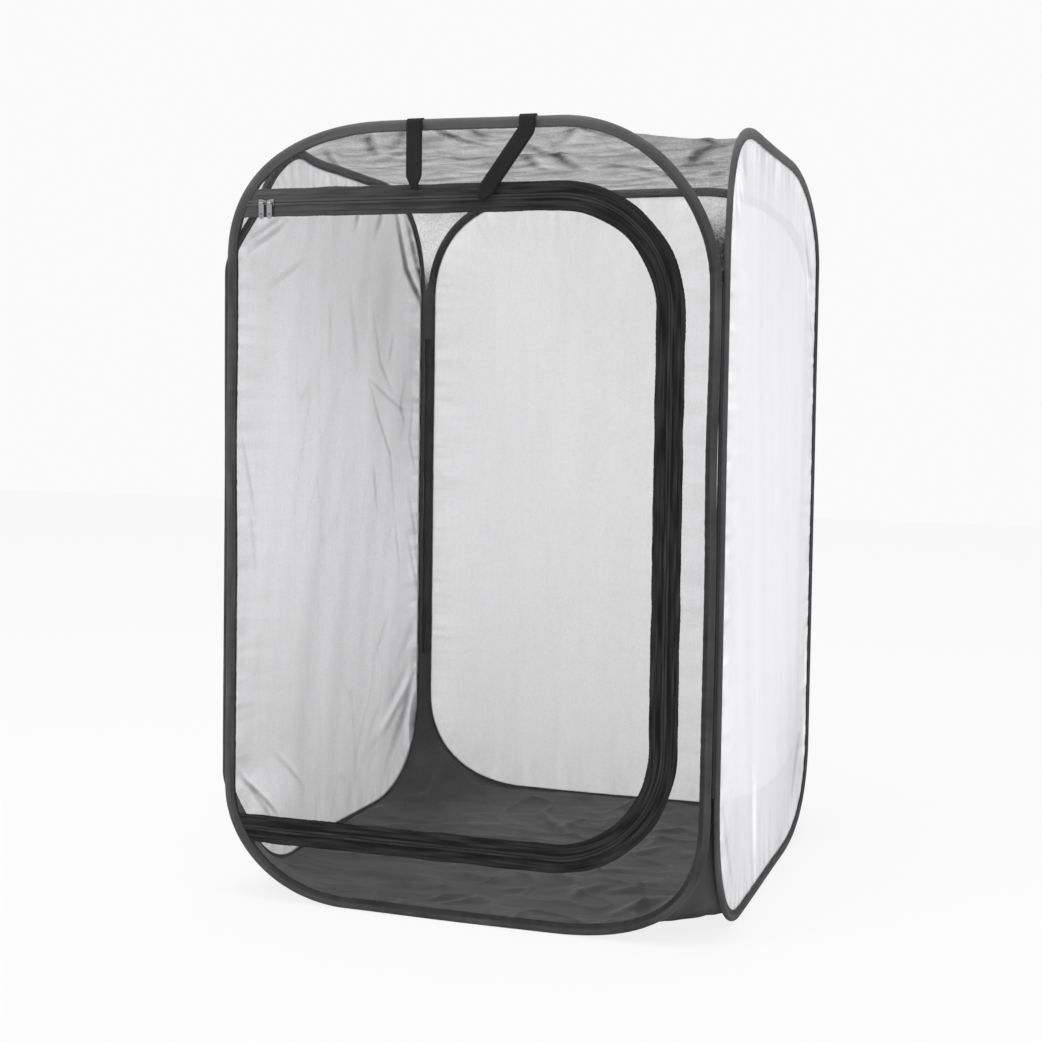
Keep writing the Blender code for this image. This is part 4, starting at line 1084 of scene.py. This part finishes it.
def build_strap(name, body, place, nodes):
    """Webbing over the hoop's top run, with its hanging end cut to a point."""
    along, length, lean = place
    wall = WALLS["front"]
    top = wall.height - BULGE
    outer = STRAP_BEND_RADIUS + STRAP_THICKNESS / 2
    line = [(outer, top - STRAP_BACK_DEPTH, 0.0)]
    for i in range(13):
        angle = math.pi * i / 12
        line.append((outer * math.cos(angle), top + outer * math.sin(angle), 0.0))
    for i in range(1, STRAP_STEPS + 1):
        s = (length + STRAP_FRONT_DEPTH) * i / STRAP_STEPS
        line.append((-outer, top - s, s))
    verts = []
    half_thick = STRAP_THICKNESS / 2
    total = line[-1][2]
    for k, (w, z, s) in enumerate(line):
        before = line[max(k - 1, 0)]
        after = line[min(k + 1, len(line) - 1)]
        tw, tz = after[0] - before[0], after[1] - before[1]
        size = math.hypot(tw, tz)
        nw, nz = tz / size, -tw / size
        width = STRAP_WIDTH / 2
        left = total - s
        if left < STRAP_TIP_LENGTH and s > 0:
            width = (STRAP_TIP_WIDTH + (STRAP_WIDTH - STRAP_TIP_WIDTH) * left / STRAP_TIP_LENGTH) / 2
        turn = lean * min(1.0, max(0.0, s - STRAP_TURN_START) / STRAP_TURN_LENGTH)
        below = max(0.0, s - STRAP_FRONT_DEPTH)
        shift = math.sin(lean) * below
        drop = (1 - math.cos(lean)) * below
        for share in (-1, -0.6, 0, 0.6, 1):
            ripple = 0.35 * MM * wander(s / (14 * MM), share, along * 50)
            a = share * width
            x = along - shift + a * math.cos(turn)
            zz = z + drop - a * math.sin(turn)
            verts.append((x, zz, w + ripple, nw, nz))
    rows = len(line)
    outside = [wall.point(x, z - nz * half_thick, w - nw * half_thick) for x, z, w, nw, nz in verts]
    inside = [wall.point(x, z + nz * half_thick, w + nw * half_thick) for x, z, w, nw, nz in verts]
    ring = []
    for k in range(rows):
        ring += outside[k * 5 : k * 5 + 5] + inside[k * 5 : k * 5 + 5][::-1]
    faces = grid_faces(rows, 10, close_columns=True)
    faces += end_faces(10, (rows - 1) * 10)
    strap = make_object(name, ring, faces, WEBBING)
    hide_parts(*nodes)
    pivot = Vector(joints[f"{body}_swing"]["pos_m"])
    direction = Vector((-math.sin(lean), 0, -math.cos(lean)))
    below = pivot + direction * STRAP_FLEX_AFTER
    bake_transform(strap)


def seam_line(wall, corner):
    """The line where the top or floor is sewn to one corner of a hoop, from the run to the side."""
    points = np.array(corner_points(wall, corner, CLOTH_CORNER_STEPS))
    ahead = np.gradient(points, axis=0)
    ahead /= np.linalg.norm(ahead, axis=1)[:, None]
    left = corner.endswith("left")
    top = corner.startswith("top")
    sign = 1 if left == top else -1
    inward = np.stack([ahead[:, 1], -ahead[:, 0]], axis=1) * sign * -1
    moved = points + inward * CLOTH_SEAM_DEPTH
    along, height = moved[-1]
    down = -1 if top else 1
    drops = [down * CLOTH_TAIL * i / CLOTH_TAIL_STEPS for i in range(1, CLOTH_TAIL_STEPS + 1)]
    tail = [(along, height + drop) for drop in drops]
    return [wall.point(x, z, CLOTH_INWARD) for x, z in [*moved, *tail]]


def cloth_shape(end, x, y, base, level):
    """Height and shade of the floor cloth or the top netting at a place, from sag, folds and wrinkles: on
    the floor painted highlights on fold crests, on the top netting its closeness.
    """
    reach_x = WALLS["right"].origin.x - WALLS["front"].origin.x
    reach_y = WALLS["back"].origin.y - WALLS["right"].origin.y
    u = (x - WALLS["front"].origin.x) / reach_x
    v = (y - WALLS["right"].origin.y) / reach_y
    hollow = max(0, 1 - abs(u) ** 6) * max(0, 1 - abs(v) ** 6)
    raised = abs(base - level)
    fade = max(0.0, 1 - raised / CLOTH_FLAT_REACH)
    edge = min(1.0, hollow * 3)
    if end == "bottom":
        sag = level - CLOTH_REST_HEIGHT
        wide = abs(wander(x * 6 + y, y * 12 - x * 2, 3))
        line = wander(x * 5 + y * 4, y * 17 - x * 3, 12)
        cross = wander(x * 13 + y * 9, y * 9 - x * 7, 17)
        fine = wander(x * 26 + y * 14, y * 44 - x * 9, 19)
        some = max(0.0, wander(x * 4, y * 6, 51) + 0.35)
        sharp = ridge(line, 12) * some + ridge(cross, 18) * max(0.0, 0.8 - some)
        fine_rise = abs(fine)
        # painted highlight on the floor's fold crests and wrinkles
        shade = sharp * 0.9 + fine * 0.5 - 0.1
    else:
        sag = TOP_SAG
        wide = wander(x * 6, y * 13, 21)
        line = wander(x * 5 + y * 4, y * 12 + x * 3, 28)
        cross = wander(x * 11 - y * 6, y * 8 + x * 7, 35)
        fine = wander(x * 22, y * 50 + x * 9, 44)
        sharp = ridge(line, 13) + ridge(cross, 16) * 0.7
        fine_rise = fine
        close = min(1.0, max(0.0, (raised - CORNER_CLOSE_FROM) / CORNER_CLOSE_REACH))
        shade = (sharp * 0.35 + fine * 0.5) * fade - 0.6 * (1 - fade) + 1.9 * close
    heights = FLOOR_RELIEF if end == "bottom" else TOP_RELIEF
    rise = wide * heights[0] + sharp * heights[1] + fine_rise * heights[2]
    return base - sag * hollow * fade + rise * edge * max(fade, 0.35), shade


def build_cloth(end, surface, node, name):
    """The floor or top as four sections, each sewn to its own wall, so that they fold with it."""
    seams = {}
    for wall in WALLS.values():
        for side in ("left", "right"):
            seams[wall.name, side] = seam_line(wall, f"{end}_{side}")
    level = seams["front", "left"][0].z
    centre = Vector((WALLS["front"].origin.x, WALLS["right"].origin.y, level))
    neighbour = {}
    for a, b in EDGES:
        neighbour[a, "right"] = (b, "left")
        neighbour[b, "left"] = (a, "right")
    for wall in WALLS.values():
        outer = []
        inner = []
        for side in ("left", "right"):
            mine = seams[wall.name, side]
            other = seams[neighbour[wall.name, side]]
            middle = [(p + q) / 2 for p, q in zip(mine, other)]
            if side == "left":
                outer += mine[::-1]
                inner += middle[::-1]
            else:
                start = seams[wall.name, "left"][0]
                finish = mine[0]
                left_middle = inner[-1]
                for i in range(1, 2 * CLOTH_RUN_STEPS):
                    outer.append(start.lerp(finish, i / (2 * CLOTH_RUN_STEPS)))
                    if i <= CLOTH_RUN_STEPS:
                        inner.append(left_middle.lerp(centre, i / CLOTH_RUN_STEPS))
                    else:
                        inner.append(centre.lerp(middle[0], i / CLOTH_RUN_STEPS - 1))
                outer += mine
                inner += middle
        verts = []
        shades = []
        for a, b in zip(outer, inner):
            for k in range(CLOTH_DEPTH_STEPS + 1):
                point = a.lerp(b, k / CLOTH_DEPTH_STEPS)
                point.z, shade = cloth_shape(end, point.x, point.y, point.z, level)
                verts.append(point)
                shades.append(shade)
        front = WALLS["front"].origin
        flat = np.array([(v.x - front.x, v.y - front.y) for v in verts])
        rises, fields = crease_relief(end, flat)
        for i, (rise, field) in enumerate(zip(rises, fields)):
            hold = max(0.0, 1 - abs(verts[i].z - level) / CLOTH_CREASE_REACH)
            verts[i].z = max(verts[i].z + rise * hold, CLOTH_THICKNESS)
            shades[i] += field * hold
        faces = grid_faces(len(outer), CLOTH_DEPTH_STEPS + 1)
        piece = make_object(f"{name}_{wall.name}", verts, faces, surface)
        set_crease(piece, shades)
        if wall.name == "front":
            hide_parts(node)
        anchor = tuple(wall.point(0, level, CLOTH_INWARD))
        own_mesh(piece)
        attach(piece, wall.body)
        flat = (wall.width, wall.width / 2)


def build_corner_loop():
    """The webbing loop that hangs at the back left corner."""
    wall = WALLS["back"]
    low, high = (Vector(point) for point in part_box("corner_loop"))
    edge = wall.width / 2 + 0.3 * MM
    reach = high.x - low.x
    middle = (low.z + high.z) / 2
    half_height = (high.z - low.z) / 2
    outline = []
    inner = []
    for i in range(41):
        angle = math.pi / 2 - math.pi * i / 40
        side = math.cos(angle)
        outline.append((edge + reach * side, middle + half_height * math.sin(angle)))
    for i in range(41):
        angle = math.pi / 2 - math.pi * i / 40
        hole_middle = high.z - LOOP_HOLE_FROM_TOP - LOOP_HOLE_HALF_HEIGHT
        across = edge + LOOP_HOLE_FROM_EDGE + LOOP_HOLE_WIDTH * math.cos(angle)
        inner.append((across, hole_middle + LOOP_HOLE_HALF_HEIGHT * math.sin(angle)))
    verts = []
    faces = []
    count = len(outline)
    for a, b in zip(outline, inner):
        for share in np.linspace(0, 1, 7):
            x = a[0] + (b[0] - a[0]) * share
            z = a[1] + (b[1] - a[1]) * share
            ripple = 0.3 * MM * wander(z * 90, share * 3, 2)
            verts.append(wall.point(x, z, ripple))
    faces = grid_faces(count, 7, close_rows=True)
    loop = make_object("hanging_loop", verts, faces, WEBBING)
    solid = loop.modifiers.new("thickness", "SOLIDIFY")
    solid.thickness = LOOP_THICKNESS
    solid.offset = 0
    apply_modifiers(loop)
    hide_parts("corner_loop")
    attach(loop, "back_wall")


def apply_modifiers(obj):
    bpy.context.view_layer.update()
    graph = bpy.context.evaluated_depsgraph_get()
    mesh = bpy.data.meshes.new_from_object(obj.evaluated_get(graph))
    obj.modifiers.clear()
    obj.data = mesh


def build_stage():
    """Pale floor and white surroundings."""
    bpy.ops.mesh.primitive_plane_add(size=FLOOR_SIZE, location=(0, 0, -0.2 * MM))
    floor = bpy.context.object
    floor.name = "floor"
    surface, tree, shader = node_tree("pale_floor")
    shader.inputs["Base Color"].default_value = (0.9, 0.9, 0.9, 1)
    shader.inputs["Roughness"].default_value = 0.9
    glow = tree.nodes.new("ShaderNodeEmission")
    glow.inputs["Color"].default_value = (FLOOR_GLOW, FLOOR_GLOW, FLOOR_GLOW, 1)
    path = tree.nodes.new("ShaderNodeLightPath")
    share = product(tree, path.outputs["Is Camera Ray"], FLOOR_GLOW_SHARE)
    mix = tree.nodes.new("ShaderNodeMixShader")
    tree.links.new(share, mix.inputs[0])
    tree.links.new(shader.outputs[0], mix.inputs[1])
    tree.links.new(glow.outputs[0], mix.inputs[2])
    tree.links.new(mix.outputs[0], tree.nodes["Material Output"].inputs["Surface"])
    floor.data.materials.append(surface)


def build_world():
    world = bpy.data.worlds.new("studio")
    bpy.context.scene.world = world
    world.use_nodes = True
    tree = world.node_tree
    background = tree.nodes["Background"]
    background.inputs["Color"].default_value = (BACKDROP, BACKDROP, BACKDROP, 1)
    path = tree.nodes.new("ShaderNodeLightPath")
    seen = math_node(tree, "MAXIMUM", path.outputs["Is Camera Ray"], path.outputs["Is Glossy Ray"])
    seen = math_node(tree, "MAXIMUM", seen, path.outputs["Is Transmission Ray"])
    strength = total(tree, product(tree, seen, 1 - AMBIENT), AMBIENT)
    tree.links.new(strength, background.inputs["Strength"])


def build_light(name, place, target, size, power):
    data = bpy.data.lights.new(name, "AREA")
    data.shape = "DISK"
    data.size = size
    data.energy = power
    light = bpy.data.objects.new(name, data)
    light.location = place
    light.rotation_euler = (Vector(target) - Vector(place)).to_track_quat("-Z", "Y").to_euler()
    bpy.context.scene.collection.objects.link(light)


def build_camera():
    data = bpy.data.cameras.new("camera")
    camera = bpy.data.objects.new("camera", data)
    bpy.context.scene.collection.objects.link(camera)
    front = WALLS["front"].origin
    turn = Matrix.Rotation(CAMERA_YAW, 3, "Z") @ Matrix.Rotation(CAMERA_PITCH, 3, "X")
    turn = turn @ Matrix.Rotation(CAMERA_ROLL, 3, "Y")
    right, forward, up = (turn.col[i] for i in range(3))
    camera.matrix_world = Matrix(
        (
            (right.x, up.x, -forward.x, front.x + CAMERA_OFFSET.x),
            (right.y, up.y, -forward.y, front.y + CAMERA_OFFSET.y),
            (right.z, up.z, -forward.z, CAMERA_OFFSET.z),
            (0, 0, 0, 1),
        )
    )
    data.sensor_width = SENSOR_MM
    data.lens = CAMERA_FOCAL_PIXELS / PHOTO_PIXELS * SENSOR_MM
    middle = PHOTO_PIXELS / 2
    data.shift_x = (middle - CAMERA_CENTRE_PIXELS[0]) / PHOTO_PIXELS
    data.shift_y = (CAMERA_CENTRE_PIXELS[1] - middle) / PHOTO_PIXELS
    bpy.context.scene.camera = camera


def build():
    dress_cad()
    for wall in WALLS.values():
        build_tape(wall)
    for name in ("right", "back", "left"):
        build_wall_net(WALLS[name])
    build_surround_net()
    build_zip()
    build_door_net()
    build_cloth("bottom", FLOOR_FABRIC, "floor_cloth", "floor")
    build_cloth("top", TOP_NET, "top_net", "roof")
    build_strap("strap_left", "left_strap", STRAP_LEFT, ("strap_left_wrap", "strap_left_tail"))
    build_strap("strap_right", "right_strap", STRAP_RIGHT, ("strap_right_wrap", "strap_right_tail"))
    build_corner_loop()
    build_stage()
    build_world()
    build_light("key", (-1.0, -2.0, 2.9), (0, 0, 0.6), 1.2, 32)
    build_light("top", (0.2, -0.7, 3.6), (0, 0, 0.8), 1.4, 46)
    build_light("side", (3.0, 0.4, 1.6), (0, 0, 0.5), 1.6, 4)
    build_light("fill", (0.4, -2.8, 1.0), (0, 0, 0.5), 2.0, 4)
    build_camera()
    bpy.context.scene.view_settings.view_transform = "Standard"


build()
